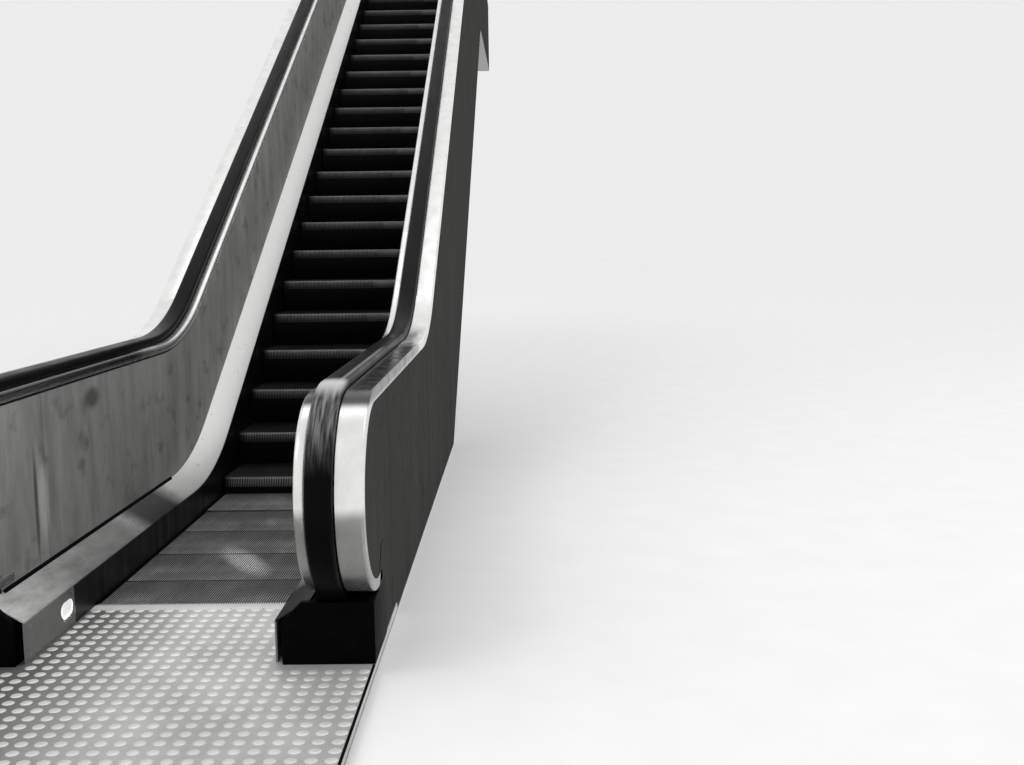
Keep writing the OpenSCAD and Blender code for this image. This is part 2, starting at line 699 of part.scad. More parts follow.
// Boots: low boxes with the handrail's inlet
module boot() difference() {
    across(half_w + boot_u, half_w + side_u) boot_view(0);
    // the box in front is chamfered along the deck's end
    translate([half_w, 0, 0]) rotate([90, 0, 0]) linear_extrude(newel_out * 3, center = true)
        polygon([[boot_u - 1, skirt_h], [panel_u * 0.8, boot_h + 1], [boot_u - 1, boot_h + 1]]);
    // and the part behind it stays under the deck
    translate([half_w, -skirt_end_y - 1, 0]) mirror([0, 1, 0]) rotate([90, 0, 0]) linear_extrude(newel_out * 2)
        polygon([[boot_u - 1, skirt_h - 20], [panel_u + panel_t + 1, deck_h - 16],
            [panel_u + panel_t + 1, boot_top + 10], [boot_u - 1, boot_top + 10]]);
    // inlet: the handrail comes down round the newel and runs back under it
    across(half_w + rail_u - inlet_c, half_w + outer_u + inlet_c) {
        intersection() {
            translate([-newel_out, newel_z]) circle(r = newel_r + inlet_c);
            translate([-newel_out - 2 * newel_r, 0]) square([2 * newel_r + 1, newel_z]);
        }
        translate([-newel_out, newel_z - newel_r - inlet_c]) square([boot_l + 2, rail_d + 2 * inlet_c]);
    }
    // the guide's tail
    translate([half_w + web_u0 - 2, -newel_out - 1, newel_z - newel_r])
        cube([web_u1 - web_u0 + 4, boot_l + 2, arm_d + 2]);
}
module boot_lower_right() color("#181818") lower() boot();
module boot_lower_left() color("#181818") lower() mirror([1, 0, 0]) boot();
module boot_upper_right() color("#181818") upper() mirror([1, 0, 0]) boot();
module boot_upper_left() color("#181818") upper() boot();

bottom_plate_lower();
soffit_incline();
soffit_upper();
truss_left();
truss_right();
cross_beams();
step_tracks();
end_plates();
floor_frame_lower();
floor_frame_upper();
floor_plate_lower();
floor_plate_upper();
comb_plate_lower();
comb_plate_upper();
comb_lower();
comb_upper();
steps_lower_landing();
step_flight_1();
step_flight_2();
step_flight_3();
steps_upper_landing();
skirt_left();
skirt_right();
skirt_ends();
skirt_lights();
inner_deck_left();
inner_deck_right();
panels_left();
panels_right();
frames_left();
frames_right();
guide_left();
guide_right();
trim_left();
trim_right();
handrail_left();
handrail_right();
outer_deck_left();
outer_deck_right();
cladding_left();
cladding_right();
boot_lower_left();
boot_lower_right();
boot_upper_left();
boot_upper_right();
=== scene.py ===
"""Finish of an escalator with metal-clad balustrades: steps, combs, handrails, decks and studded floors."""

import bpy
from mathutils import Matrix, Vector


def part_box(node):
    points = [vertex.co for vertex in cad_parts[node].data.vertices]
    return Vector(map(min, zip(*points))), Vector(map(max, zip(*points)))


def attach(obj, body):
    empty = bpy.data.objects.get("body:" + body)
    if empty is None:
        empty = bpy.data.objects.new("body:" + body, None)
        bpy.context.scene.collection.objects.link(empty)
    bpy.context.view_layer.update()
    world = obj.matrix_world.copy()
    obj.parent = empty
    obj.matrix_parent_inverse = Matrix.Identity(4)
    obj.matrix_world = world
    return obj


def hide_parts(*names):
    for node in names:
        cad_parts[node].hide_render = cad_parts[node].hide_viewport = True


bl_info = {
    "name": "Escalator finish",
    "version": (1, 0, 0),
    "blender": (4, 5, 0),
    "location": "View3D > Sidebar > Escalator",
    "description": "Dresses a packed escalator with its steps, rails, decks, studs and finishes",
    "category": "Object",
}

import math

import bmesh
import bpy
from bpy.props import FloatProperty, FloatVectorProperty, IntProperty, PointerProperty
from mathutils import Matrix, Vector

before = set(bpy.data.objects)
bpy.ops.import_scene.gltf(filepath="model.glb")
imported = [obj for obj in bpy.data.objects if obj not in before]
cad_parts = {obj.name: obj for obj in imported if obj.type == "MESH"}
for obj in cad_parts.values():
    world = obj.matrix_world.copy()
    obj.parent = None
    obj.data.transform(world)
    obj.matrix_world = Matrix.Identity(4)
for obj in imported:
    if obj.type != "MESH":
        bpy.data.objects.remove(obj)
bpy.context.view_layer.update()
BODY = "root"
MM = 0.001
SIDES = {"left": -1, "right": 1}


def linear(hex_code):
    """Linear colour of an sRGB hex value."""
    parts = [int(hex_code[i:i + 2], 16) / 255 for i in (0, 2, 4)]
    return tuple(c / 12.92 if c <= 0.04045 else ((c + 0.055) / 1.055) ** 2.4 for c in parts)


def length(name, default, text):
    return FloatProperty(name=name, default=default, description=text, subtype="DISTANCE", unit="LENGTH")


def angle(name, degrees, text):
    return FloatProperty(name=name, default=math.radians(degrees), description=text, subtype="ANGLE")


def finish_colour(name, hex_code, text):
    return FloatVectorProperty(name=name, default=linear(hex_code), description=text, subtype="COLOR",
                               size=3, min=0, max=1)


# Sizes that a user would change

class RunSizes(bpy.types.PropertyGroup):
    """Path and size of the steps"""
    step_width: length("Step width", 0.8, "Width of a step")
    step_pitch: length("Step pitch", 0.4, "Spacing of the steps along the run")
    step_gap: length("Step gap", 0.003, "Running gap between two steps")
    slope: angle("Slope", 30, "Slope of the run")
    risers: IntProperty(name="Risers", default=24, description="Risers between the working points")
    bend_radius: length("Bend radius", 1.5, "Radius of the step line at both bends")
    flat_length: length("Flat length", 1.77, "Level distance from a comb line to its working point")
    first_joint: length("First joint", 0.307, "Distance from the lower comb line to the first step joint")
    floor_height: length("Floor height", 0.04, "Height of the lower walking surface")
    cleats: IntProperty(name="Cleats", default=88, description="Cleats across a step")
    cleat_height: length("Cleat height", 0.009, "Height of a cleat over its groove")
    nose_band: length("Nose band", 0.04, "Height of the worn band under a step's nose")


class RailSizes(bpy.types.PropertyGroup):
    """Handrail, trim and decks, as distances out from the steps and down from the handrail's crown"""
    rail_height: length("Handrail height", 0.9, "Height of the handrail over a landing")
    rail_rise: length("Height on the slope", 0.95, "Height of the handrail over the step line on the slope")
    lower_radius: length("Lower radius", 1.3, "Radius of the handrail's lower bend")
    upper_radius: length("Upper radius", 2.3, "Radius of the handrail's upper bend")
    newel_radius: length("Newel radius", 0.36, "Radius of the handrail round a newel")
    newel_out: length("Newel centre", 0.49, "Distance of a newel's centre from the comb line")
    trim_out: length("Trim", 0.115, "Distance from the steps to the trim")
    trim_tail: length("Trim tail", 0.08, "Length of the trims that runs back under a newel")
    rail_out: length("Handrail", 0.155, "Distance from the steps to the handrail")
    rail_width: length("Handrail width", 0.085, "Width of the handrail")
    rail_depth: length("Handrail depth", 0.032, "Depth of the handrail with its lips")
    outer_width: length("Outer deck width", 0.09, "Width of the outer deck")
    panel_out: length("Panel", 0.12, "Distance from the steps to the interior panels")
    skirt_gap: length("Skirt gap", 0.004, "Running gap beside the steps")
    skirt_height: length("Skirt height", 0.14, "Height of the inner deck's foot over the step line")
    deck_height: length("Deck height", 0.205, "Height of the inner deck's upper edge over the step line")
    deck_end: length("Deck end", 0.61, "Distance from the comb line to the end of the skirts and inner decks")
    sheet: length("Sheet", 0.004, "Thickness of the deck sheets")
    joint: length("Joint", 0.0008, "Open joint between two lengths of deck or trim")


class FloorSizes(bpy.types.PropertyGroup):
    """Studs on the floors"""
    stud_across: length("Studs across", 0.0539, "Spacing of the studs across the machine")
    stud_along: length("Studs along", 0.0575, "Spacing of the studs along the machine")
    stud_radius: length("Stud radius", 0.0185, "Radius of a stud at its foot")
    stud_height: length("Stud height", 0.0028, "Height of a stud over the plate")


class Finishes(bpy.types.PropertyGroup):
    """Colours of the finishes"""
    bright: finish_colour("Bright steel", "EDEDEB", "Bright stainless steel of the trims and decks")
    panel: finish_colour("Brushed steel", "969694", "Worn brushed steel of the panels")
    cladding: finish_colour("Cladding", "424241", "Dull steel of the outer sides")
    skirt_end: finish_colour("Skirt end", "80807F", "Dull steel of the skirts' ends")
    plate: finish_colour("Floor plate", "BEBEBC", "Cast aluminium between the studs")
    stud: finish_colour("Stud", "E2E2DF", "Aluminium polished by feet")
    casting: finish_colour("Step casting", "070708", "Dark paint on the step castings")
    cleat: finish_colour("Cleat tops", "B2B2B1", "Cleats worn back to the aluminium")
    nose: finish_colour("Step nose", "9E9E9D", "Worn nose of a step")
    skirt: finish_colour("Skirt", "080809", "Black coating of the skirts")
    rubber: finish_colour("Handrail", "040404", "Black rubber of the handrails")
    boot: finish_colour("Boot", "030303", "Black plastic of the boots")
    steel_paint: finish_colour("Structural paint", "3A3C3E", "Primer of the truss and frames")
    soffit_paint: finish_colour("Soffit paint", "8B8D8E", "Paint of the soffit")
    lens: finish_colour("Lens", "F7F7F2", "Frosted lens of the skirt lights")


class StageSizes(bpy.types.PropertyGroup):
    """Camera and studio"""
    camera_place: FloatVectorProperty(name="Camera", default=(1.2195, -4.246, 1.389), subtype="TRANSLATION",
                                      description="Place of the camera")
    camera_pitch: angle("Pitch", -7.045, "Tilt of the camera")
    camera_yaw: angle("Yaw", -0.67, "Turn of the camera to the right")
    camera_roll: angle("Roll", -0.764, "Roll of the camera")
    lens: FloatProperty(name="Lens", default=41.24, description="Focal length on a 36 mm sensor, in mm")
    pale: finish_colour("Pale", "F6F6F6", "Colour of the studio's light, backdrop and floor")


# Nodes of the materials

NOISE_RANGE = 0.3, 0.7


def add(tree, kind, inputs=(), **settings):
    """Adds a node with its settings. An input is given a value, or a socket that it is linked to."""
    node = tree.nodes.new(kind)
    for name, value in settings.items():
        setattr(node, name, value)
    for name, value in dict(inputs).items():
        if isinstance(value, bpy.types.NodeSocket):
            tree.links.new(value, node.inputs[name])
        else:
            node.inputs[name].default_value = value
    return node


def begin(name, **constants):
    """A new material, its shader with the sockets that are constant, and the piece's Object coordinates."""
    material = bpy.data.materials.new(name)
    material.use_nodes = True
    tree = material.node_tree
    shader = tree.nodes["Principled BSDF"]
    for socket, value in constants.items():
        shader.inputs[socket.replace("_", " ")].default_value = value
    return material, tree, shader, add(tree, "ShaderNodeTexCoord").outputs["Object"]


def connect(tree, shader, tone, rough, relief, strength, depth):
    """Links a finish's colour, roughness and relief to its shader. The relief's depth is in millimetres."""
    bump = add(tree, "ShaderNodeBump", {"Height": relief, "Strength": strength, "Distance": depth * MM})
    tree.links.new(tone, shader.inputs["Base Color"])
    tree.links.new(rough, shader.inputs["Roughness"])
    tree.links.new(bump.outputs[0], shader.inputs["Normal"])


def noise(tree, place, sizes, detail=2.0, roughness=0.5):
    """Soft noise whose features measure the given millimetres along X, Y and Z."""
    scaled = add(tree, "ShaderNodeMapping", {"Vector": place, "Scale": [1000 / size for size in sizes]})
    return add(tree, "ShaderNodeTexNoise", {"Vector": scaled.outputs[0], "Scale": 1.0, "Detail": detail,
                                            "Roughness": roughness}).outputs["Fac"]


def cells(tree, place, size):
    """Distance from the middles of cells that measure the given millimetres."""
    return add(tree, "ShaderNodeTexVoronoi", {"Vector": place, "Scale": 1000 / size}).outputs["Distance"]


def axes(tree, place, names):
    """The coordinates of those names."""
    split = add(tree, "ShaderNodeSeparateXYZ", {"Vector": place})
    return [split.outputs[name] for name in names]


def number(tree, operation, first, second=0.0):
    """Result of one sum on numbers in a shader."""
    return add(tree, "ShaderNodeMath", {0: first, 1: second}, operation=operation).outputs[0]


def times(tree, first, second):
    return number(tree, "MULTIPLY", first, second)


def ranged(tree, value, start, end, low=0.0, high=1.0, kind="LINEAR"):
    """A number that goes from low to high while the value goes from start to end."""
    node = add(tree, "ShaderNodeMapRange", {"Value": value, "From Min": start, "From Max": end,
                                            "To Min": low, "To Max": high}, interpolation_type=kind)
    return node.outputs[0]


def between(tree, value, start, end):
    """Share from 0 at the start to 1 at the end, smooth in between."""
    return ranged(tree, value, start, end, kind="SMOOTHSTEP")


def by_noise(tree, pattern, low, high):
    """A number that follows a noise pattern from low to high."""
    return ranged(tree, pattern, *NOISE_RANGE, low, high)


def rgba(colour, gain=1.0):
    return tuple(min(1.0, c * gain) for c in colour) + (1.0,)


def grey(value):
    return (value, value, value, 1.0)


def ramp(tree, factor, *stops):
    """A colour ramp through the given places and colours."""
    node = add(tree, "ShaderNodeValToRGB", {"Fac": factor})
    elements = node.color_ramp.elements
    while len(elements) < len(stops):
        elements.new(0.5)
    for element, (place, value) in zip(elements, stops):
        element.position = place
        element.color = value
    return node.outputs["Color"]


def mix(tree, share, first, second, blend="MIX"):
    """Blend of two colours in a shader, by a share from 0 to 1."""
    return add(tree, "ShaderNodeMix", {0: share, 6: first, 7: second}, data_type="RGBA",
               blend_type=blend).outputs[2]


def multiply(tree, first, *others):
    """Product of colours in a shader."""
    for other in others:
        first = mix(tree, 1.0, first, other, "MULTIPLY")
    return first


def mark(tree, place, centre, size, turn=0.0):
    """Share of a soft oval mark: 1 at its middle, 0 outside. A very large size leaves its axis out."""
    near = add(tree, "ShaderNodeMapping", {"Vector": place, "Location": centre, "Rotation": (0, 0, turn),
                                           "Scale": size}, vector_type="TEXTURE")
    far = add(tree, "ShaderNodeVectorMath", {0: near.outputs[0]}, operation="LENGTH").outputs["Value"]
    return between(tree, far, 1.0, 0.35)


# Materials

def bright_steel(colours):
    """Stainless sheet, ground fine and rubbed bright: darker low down, with a painted dark reflection on the
    level tops by the landing.
    """
    material, tree, shader, place = begin("bright_stainless_steel", Metallic=0.8)
    marks = noise(tree, place, (70, 110, 90), 5.0)
    grain = noise(tree, place, (1.6, 40, 40))
    y, z = axes(tree, place, "YZ")
    clean = ramp(tree, marks, (0.3, rgba(colours.bright, 0.84)), (0.62, rgba(colours.bright)))
    # painted dark reflection: the level tops by the landing fall to a few percent of the bright steel
    level = times(tree, between(tree, z, 0.862, 0.886), between(tree, y, 1.25, 0.9))
    low = between(tree, z, 0.6, 0.55)
    painted_dark_top, at_foot = mix(tree, level, grey(1.0), grey(0.06)), mix(tree, low, grey(1.0), grey(0.42))
    tone = multiply(tree, clean, painted_dark_top, at_foot)
    connect(tree, shader, tone, by_noise(tree, marks, 0.3, 0.16), grain, 0.05, 0.4)
    return material


def deck_steel(colours):
    """Stainless deck sheet: bright up the run; from the lower landing to the bend darker in bands and
    scuffed, with painted shade at the lower end of the right deck.
    """
    material, tree, shader, place = begin("scuffed_stainless_deck", Metallic=0.5)
    scuff = noise(tree, place, (60, 160, 50), 6.0, 0.65)
    x, y = axes(tree, place, "XY")
    along_landing = ((0.0, 0.85), (0.23, 0.38), (0.42, 0.42), (0.48, 0.6), (0.53, 0.06), (0.66, 0.07),
                     (0.74, 1.0))
    dull = ramp(tree, ranged(tree, y, -0.6, 1.9),
                *[(at, rgba(colours.bright, share)) for at, share in along_landing])
    blotch = ramp(tree, scuff, (0.3, grey(1.0)), (0.7, grey(0.5)))
    # painted shade: the lower end of the right deck falls almost to black
    shaded = times(tree, between(tree, x, 0.3, 0.36), between(tree, y, -0.2, -0.34))
    soiled_and_shaded = multiply(tree, dull, blotch, mix(tree, shaded, grey(1.0), grey(0.02)))
    tone = mix(tree, between(tree, y, 1.1, 1.4), soiled_and_shaded, rgba(colours.bright))
    connect(tree, shader, tone, by_noise(tree, scuff, 0.26, 0.4), scuff, 0.05, 0.6)
    return material


def brushed_steel(name, colour, spread, metal, specular=0.25):
    """Stainless sheet, brushed upright: fine grain, streaks in tone, dull stains, a dark spot, a dark joint
    and a painted sheen beside the joint.
    """
    material, tree, shader, place = begin(name, Metallic=metal, Specular_IOR_Level=specular)
    grain = noise(tree, place, (2.5, 2.5, 260), 3.0)
    streak = noise(tree, place, (130, 130, 560), 4.0, 0.7)
    stain = noise(tree, place, (180, 180, 120), 5.0)
    streaks = ramp(tree, streak, (0.3, rgba(colour, 1 - spread)), (0.7, rgba(colour, 1 + spread)))
    stains = ramp(tree, stain, (0.3, grey(1 - 1.4 * spread)), (0.42, grey(1.0)))
    spot = mark(tree, place, (-0.52, 0.4, 0.775), (0.1, 0.11, 0.06))
    seam = mark(tree, place, (-0.52, -0.185, 0.47), (0.1, 0.022, 0.27))
    # painted sheen: a lighter band beside the panel joint
    sheen = mark(tree, place, (-0.52, -0.125, 0.47), (0.1, 0.06, 0.2))
    stained = mix(tree, number(tree, "MAXIMUM", spot, seam), stains, grey(0.35))
    tone = mix(tree, times(tree, sheen, 0.7), multiply(tree, streaks, stained), rgba(colour, 2.0))
    connect(tree, shader, tone, by_noise(tree, stain, 0.5, 0.34), grain, 0.12, 0.3)
    return material


def cast_aluminium(name, colour, low, high, side=1.0):
    """Cast aluminium, trodden: soft patches, brighter by the comb, painted shade towards the left, fine
    pitting.
    """
    material, tree, shader, place = begin(name, Metallic=0.35, Specular_IOR_Level=0.3)
    wear = noise(tree, place, (240, 300, 300), 6.0, 0.6)
    pits = noise(tree, place, (3, 3, 3), 4.0)
    x, y = axes(tree, place, "XY")
    trodden = ramp(tree, wear, (0.32, rgba(colour, low)), (0.66, rgba(colour, high)))
    # painted shade: towards the left the colour falls to the share given by side
    painted_left_shade, rubbed = ranged(tree, x, -0.35, 0.0, side, 1.0), ranged(tree, y, -1.2, -0.1, 0.88, 1.3)
    tone = multiply(tree, trodden, painted_left_shade, rubbed)
    connect(tree, shader, tone, by_noise(tree, wear, 0.55, 0.4), pits, 0.25, 0.3)
    return material


def worn_treads(colours, run):
    """Cleat tops of a casting, worn through the paint: darker to the rear, and painted shade darkens them up
    the run.
    """
    material, tree, shader, place = begin("worn_cleat_tops", Metallic=0.2, Specular_IOR_Level=0.2)
    dust = noise(tree, place, (120, 260, 110), 7.0, 0.68)
    pits = noise(tree, place, (4, 9, 4), 4.0)
    y, z = axes(tree, place, "YZ")
    behind_joint = times(tree, number(tree, "SUBTRACT", y, run.first_joint), 1 / run.step_pitch)
    worn = ramp(tree, number(tree, "FRACT", behind_joint), (0.0, grey(1.0)), (0.25, grey(0.72)),
                (0.4, grey(0.9)), (0.65, grey(0.6)), (0.95, grey(0.5)))
    dusty = ramp(tree, dust, (0.3, rgba(colours.cleat, 0.7)), (0.52, rgba(colours.cleat)),
                 (0.7, rgba(colours.cleat, 1.5)))
    # painted shade: up the run the treads fall to a few percent of their colour
    tread = multiply(tree, dusty, worn, ranged(tree, z, 0.05, 0.14, 1.0, 0.04))
    # a lighter diagonal streak across the treads at the lower landing
    light_streak = mark(tree, place, (0.015, 0.6, 0), (0.09, 0.33, 10), math.radians(30))
    tone = mix(tree, light_streak, tread, rgba(colours.cleat, 2.2))
    connect(tree, shader, tone, by_noise(tree, dust, 0.5, 0.66), pits, 0.2, 0.3)
    return material


def worn_nose(colours, run):
    """Riser edge under a step's nose, rubbed grey by shoes: soft at its foot and towards the step's ends."""
    material, tree, shader, place = begin("worn_step_nose", Metallic=0.3, Specular_IOR_Level=0.2)
    dust = noise(tree, place, (90, 90, 60), 5.0, 0.6)
    pits = noise(tree, place, (4, 4, 4), 3.0)
    x, z = axes(tree, place, "XZ")
    half, rise = run.step_width / 2, run.step_pitch * math.sin(run.slope)
    inside = ramp(tree, number(tree, "ABSOLUTE", x), (half - 45 * MM, grey(1.0)),
                  (half - 12 * MM, grey(0.12)))
    middle_nose = step_place(run.risers // 2).z
    risers_up = times(tree, number(tree, "SUBTRACT", z, middle_nose), 1 / rise)
    fade = ramp(tree, number(tree, "FRACT", risers_up), (0.1, grey(1.0)), (0.5, grey(0.3)),
                (1 - run.nose_band / rise, grey(0.2)), (0.9, grey(0.7)), (0.97, grey(1.0)))
    tones = ramp(tree, dust, (0.3, rgba(colours.nose, 0.75)), (0.7, rgba(colours.nose, 1.2)))
    tone = multiply(tree, tones, inside, fade)
    connect(tree, shader, tone, by_noise(tree, dust, 0.5, 0.65), pits, 0.15, 0.3)
    return material


def painted_metal(name, colour, gloss, specular=0.5):
    """Paint over steel or a casting: even colour, dust in soft patches, the slight orange peel of a spray."""
    material, tree, shader, place = begin(name, Specular_IOR_Level=specular)
    dust = noise(tree, place, (180, 180, 180), 6.0, 0.6)
    peel = noise(tree, place, (2.5, 2.5, 2.5))
    tone = ramp(tree, dust, (0.35, rgba(colour, 0.88)), (0.7, rgba(colour, 1.25)))
    connect(tree, shader, tone, by_noise(tree, dust, gloss, gloss + 0.15), peel, 0.1, 0.2)
    return material


def skirt_coating(colours):
    """Low-friction coating on steel: black and smooth, with grey rubs that run along with the steps."""
    material, tree, shader, place = begin("skirt_coating", Specular_IOR_Level=0.2)
    rub = noise(tree, place, (30, 420, 16), 7.0, 0.7)
    streak = noise(tree, place, (60, 60, 900), 3.0)
    tone = ramp(tree, rub, (0.45, rgba(colours.skirt, 0.7)), (0.75, rgba(colours.skirt, 3.2)))
    connect(tree, shader, tone, by_noise(tree, streak, 0.26, 0.46), streak, 0.1, 0.8)
    return material


def handrail_rubber(colours):
    """Vulcanised rubber, black with a fine moulded grain. By the lower newel it has a painted highlight on
    the crown and a painted highlight line along the level run, and it is scuffed grey down the front."""
    material, tree, shader, place = begin("handrail_rubber", Specular_IOR_Level=0.05)
    polish = noise(tree, place, (60, 240, 200), 5.0)
    streak = noise(tree, place, (9, 140, 110), 4.0)
    grain = noise(tree, place, (1.5, 1.5, 1.5), 3.0)
    x, y, z = axes(tree, place, "XYZ")
    black = ramp(tree, polish, (0.35, rgba(colours.rubber, 0.7)), (0.7, rgba(colours.rubber, 1.5)))
    scuffs = ramp(tree, streak, (0.36, grey(0.02)), (0.5, grey(0.1)), (0.68, grey(0.24)))
    front = times(tree, between(tree, y, -0.47, -0.6), between(tree, z, 0.68, 0.86))
    out = number(tree, "ABSOLUTE", x)
    # painted highlight: a pale line along the level run of the belt
    line = times(tree, between(tree, out, 0.612, 0.619), between(tree, out, 0.632, 0.625))
    level = times(tree, between(tree, y, -0.6, -0.5), between(tree, y, 0.75, 0.5))
    # painted highlight: the crown of the lower newel is pale
    crown = times(tree, between(tree, z, 0.9, 0.945), between(tree, y, -0.4, -0.54))
    tone = mix(tree, front, black, scuffs)
    for share, shade in ((times(tree, line, level), 0.2), (crown, 0.6)):
        tone = mix(tree, share, tone, grey(shade))
    connect(tree, shader, tone, by_noise(tree, polish, 0.28, 0.42), grain, 0.12, 0.15)
    return material


def moulded_plastic(name, colour):
    """Injection-moulded ABS: black, with a leathery spark-eroded grain and lighter scuffs."""
    material, tree, shader, place = begin(name, Specular_IOR_Level=0.03)
    scuff = noise(tree, place, (45, 45, 45), 8.0, 0.7)
    tone = ramp(tree, scuff, (0.5, rgba(colour)), (0.78, rgba(colour, 3.0)))
    connect(tree, shader, tone, by_noise(tree, scuff, 0.5, 0.62), cells(tree, place, 1.8), 0.2, 0.15)
    return material


def frosted_lens(colours):
    """Frosted polycarbonate in front of a lamp: white, evenly lit, with a soft prism pattern."""
    material, tree, shader, place = begin("frosted_lens", Emission_Strength=0.9)
    haze = noise(tree, place, (30, 30, 30))
    tone = ramp(tree, haze, (0.3, rgba(colours.lens, 0.9)), (0.7, rgba(colours.lens)))
    connect(tree, shader, tone, ranged(tree, haze, 0.0, 1.0, 0.25, 0.4), cells(tree, place, 5), 0.3, 0.5)
    tree.links.new(tone, shader.inputs["Emission Color"])
    return material


def studio_paper(colour):
    """Seamless paper: pale, matt, with a barely visible fibre."""
    material, tree, shader, place = begin("studio_paper", Specular_IOR_Level=0.2)
    fibre = noise(tree, place, (250, 250, 250), 6.0)
    tone = ramp(tree, fibre, (0.3, rgba(colour, 0.97)), (0.7, rgba(colour)))
    connect(tree, shader, tone, ranged(tree, fibre, 0.0, 1.0, 0.8, 0.9), fibre, 0.02, 1.0)
    return material


def make_finishes():
    """All finishes of the object, by name."""
    c, run = bpy.context.scene.escalator_finishes, bpy.context.scene.escalator_run
    return {
        "bright": bright_steel(c),
        "deck": deck_steel(c),
        "panel": brushed_steel("brushed_panel_steel", c.panel, 0.28, 0.15),
        "cladding": brushed_steel("brushed_cladding_steel", c.cladding, 0.12, 0.0, 0.0),
        "skirt_end": brushed_steel("dull_skirt_end_steel", c.skirt_end, 0.2, 0.3),
        "plate": cast_aluminium("cast_floor_plate", c.plate, 0.85, 1.2, 0.32),
        "stud": cast_aluminium("polished_stud_aluminium", c.stud, 0.9, 1.1),
        "comb": cast_aluminium("die_cast_comb", c.stud, 0.8, 1.0),
        "casting": painted_metal("step_casting_paint", c.casting, 0.5, 0.15),
        "cleat": worn_treads(c, run),
        "nose": worn_nose(c, run),
        "skirt": skirt_coating(c),
        "rubber": handrail_rubber(c),
        "seal": moulded_plastic("extruded_seal", c.rubber),
        "boot": moulded_plastic("moulded_boot", c.boot),
        "steel_paint": painted_metal("structural_primer", c.steel_paint, 0.55),
        "soffit_paint": painted_metal("soffit_enamel", c.soffit_paint, 0.4),
        "lens": frosted_lens(c),
    }


FINISHES = {}


def finish(key):
    """The finish of that name. All are made when the first is asked for."""
    if not FINISHES:
        FINISHES.update(make_finishes())
    return FINISHES[key]


# Paths, in the plane of Y and Z

BEND_STEP = math.radians(3.0)
NEWEL_TURN, NEWEL_STEPS = 3.0, 30  # a turn of more than 3 radians goes round a newel


class Route:
    """A place and a heading in a side view. It is carried on by straight legs and by bends."""

    def __init__(self, y, z, heading=0.0):
        self.at = Vector((0.0, y, z))
        self.heading = heading

    def normal(self):
        """Upward or outward direction, a quarter turn from the heading."""
        return Vector((0.0, -math.sin(self.heading), math.cos(self.heading)))

    def forward(self):
        return Vector((0.0, math.cos(self.heading), math.sin(self.heading)))


def run_sizes():
    """Working points of the step line."""
    run = bpy.context.scene.escalator_run
    rise = run.risers * run.step_pitch * math.sin(run.slope)
    going = run.risers * run.step_pitch * math.cos(run.slope)
    tangent = run.bend_radius * math.tan(run.slope / 2)
    return {"rise": rise, "y_hi": run.flat_length + going, "y_end": going + 2 * run.flat_length,
            "z_hi": run.floor_height + rise, "flat": run.flat_length - tangent,
            "incline": run.risers * run.step_pitch - 2 * tangent}


def ends(run):
    """Comb line, floor height and direction inwards of the lower and the upper landing."""
    s = run_sizes()
    return (0.0, run.floor_height, 1), (s["y_end"], s["z_hi"], -1)


def step_place(k):
    """Place of the nose of step k, on the step line."""
    run = bpy.context.scene.escalator_run
    s = run_sizes()
    r, slope, flat = run.bend_radius, run.slope, s["flat"]
    bend = r * slope
    along = run.first_joint + k * run.step_pitch
    total = 2 * flat + 2 * bend + s["incline"]
    if along <= flat:
        y, z = along, 0.0
    elif along <= flat + bend:
        a = (along - flat) / r
        y, z = flat + r * math.sin(a), r * (1 - math.cos(a))
    elif along <= total - flat - bend:
        rest = along - flat - bend
        y = flat + r * math.sin(slope) + rest * math.cos(slope)
        z = r * (1 - math.cos(slope)) + rest * math.sin(slope)
    elif along <= total - flat:
        a = (total - flat - along) / r
        y, z = s["y_end"] - flat - r * math.sin(a), s["rise"] - r * (1 - math.cos(a))
    else:
        y, z = s["y_end"] - (total - along), s["rise"]
    return Vector((0.0, y, z + run.floor_height))


def up_the_slope(start, total, lengths):
    """Routes and legs of equal lengths up the slope, with joints between, and the place where they end."""
    slope, joint = bpy.context.scene.escalator_run.slope, bpy.context.scene.escalator_rail.joint
    up = Vector((math.cos(slope), math.sin(slope)))
    places = [start + up * (total * i / lengths + joint / 2) for i in range(lengths)]
    legs = [("line", total / lengths - joint)]
    return [(Route(at.x, at.y, slope), legs) for at in places], start + up * total


def step_line_parts(end, lengths=3):
    """Routes and legs along the step line: foot, lengths up the slope, and head."""
    run, s = bpy.context.scene.escalator_run, run_sizes()
    r, slope, level = run.bend_radius, run.slope, ("line", s["flat"] + end)
    start = Vector((s["flat"] + r * math.sin(slope), run.floor_height + r * (1 - math.cos(slope))))
    middle, top = up_the_slope(start, s["incline"], lengths)
    return [(Route(-end, run.floor_height), [level, ("bend", r, slope)]), *middle,
            (Route(top.x, top.y, slope), [("bend", r, -slope), level])]


def rail_line_parts(tail, lengths=3):
    """Routes and legs along the handrail's crown, round both newels, with a tail under each."""
    run, rail, s = bpy.context.scene.escalator_run, bpy.context.scene.escalator_rail, run_sizes()
    slope = run.slope
    shift = (rail.rail_height - rail.rail_rise) / math.tan(slope)
    y1, y2 = run.flat_length + shift, s["y_hi"] + shift
    t1, t2 = rail.lower_radius * math.tan(slope / 2), rail.upper_radius * math.tan(slope / 2)
    crown = run.floor_height + rail.rail_height
    newel = ("bend", rail.newel_radius, -math.pi)
    start = Vector((y1 + t1 * math.cos(slope), crown + t1 * math.sin(slope)))
    middle, top = up_the_slope(start, (y2 - y1) / math.cos(slope) - t1 - t2, lengths)
    return [(Route(-rail.newel_out + tail, crown - 2 * rail.newel_radius, math.pi),
             [("line", tail), newel, ("line", y1 - t1 + rail.newel_out), ("bend", rail.lower_radius, slope)]),
            *middle,
            (Route(top.x, top.y, slope),
             [("bend", rail.upper_radius, -slope), ("line", s["y_end"] + rail.newel_out - y2 - t2), newel,
              ("line", tail)])]


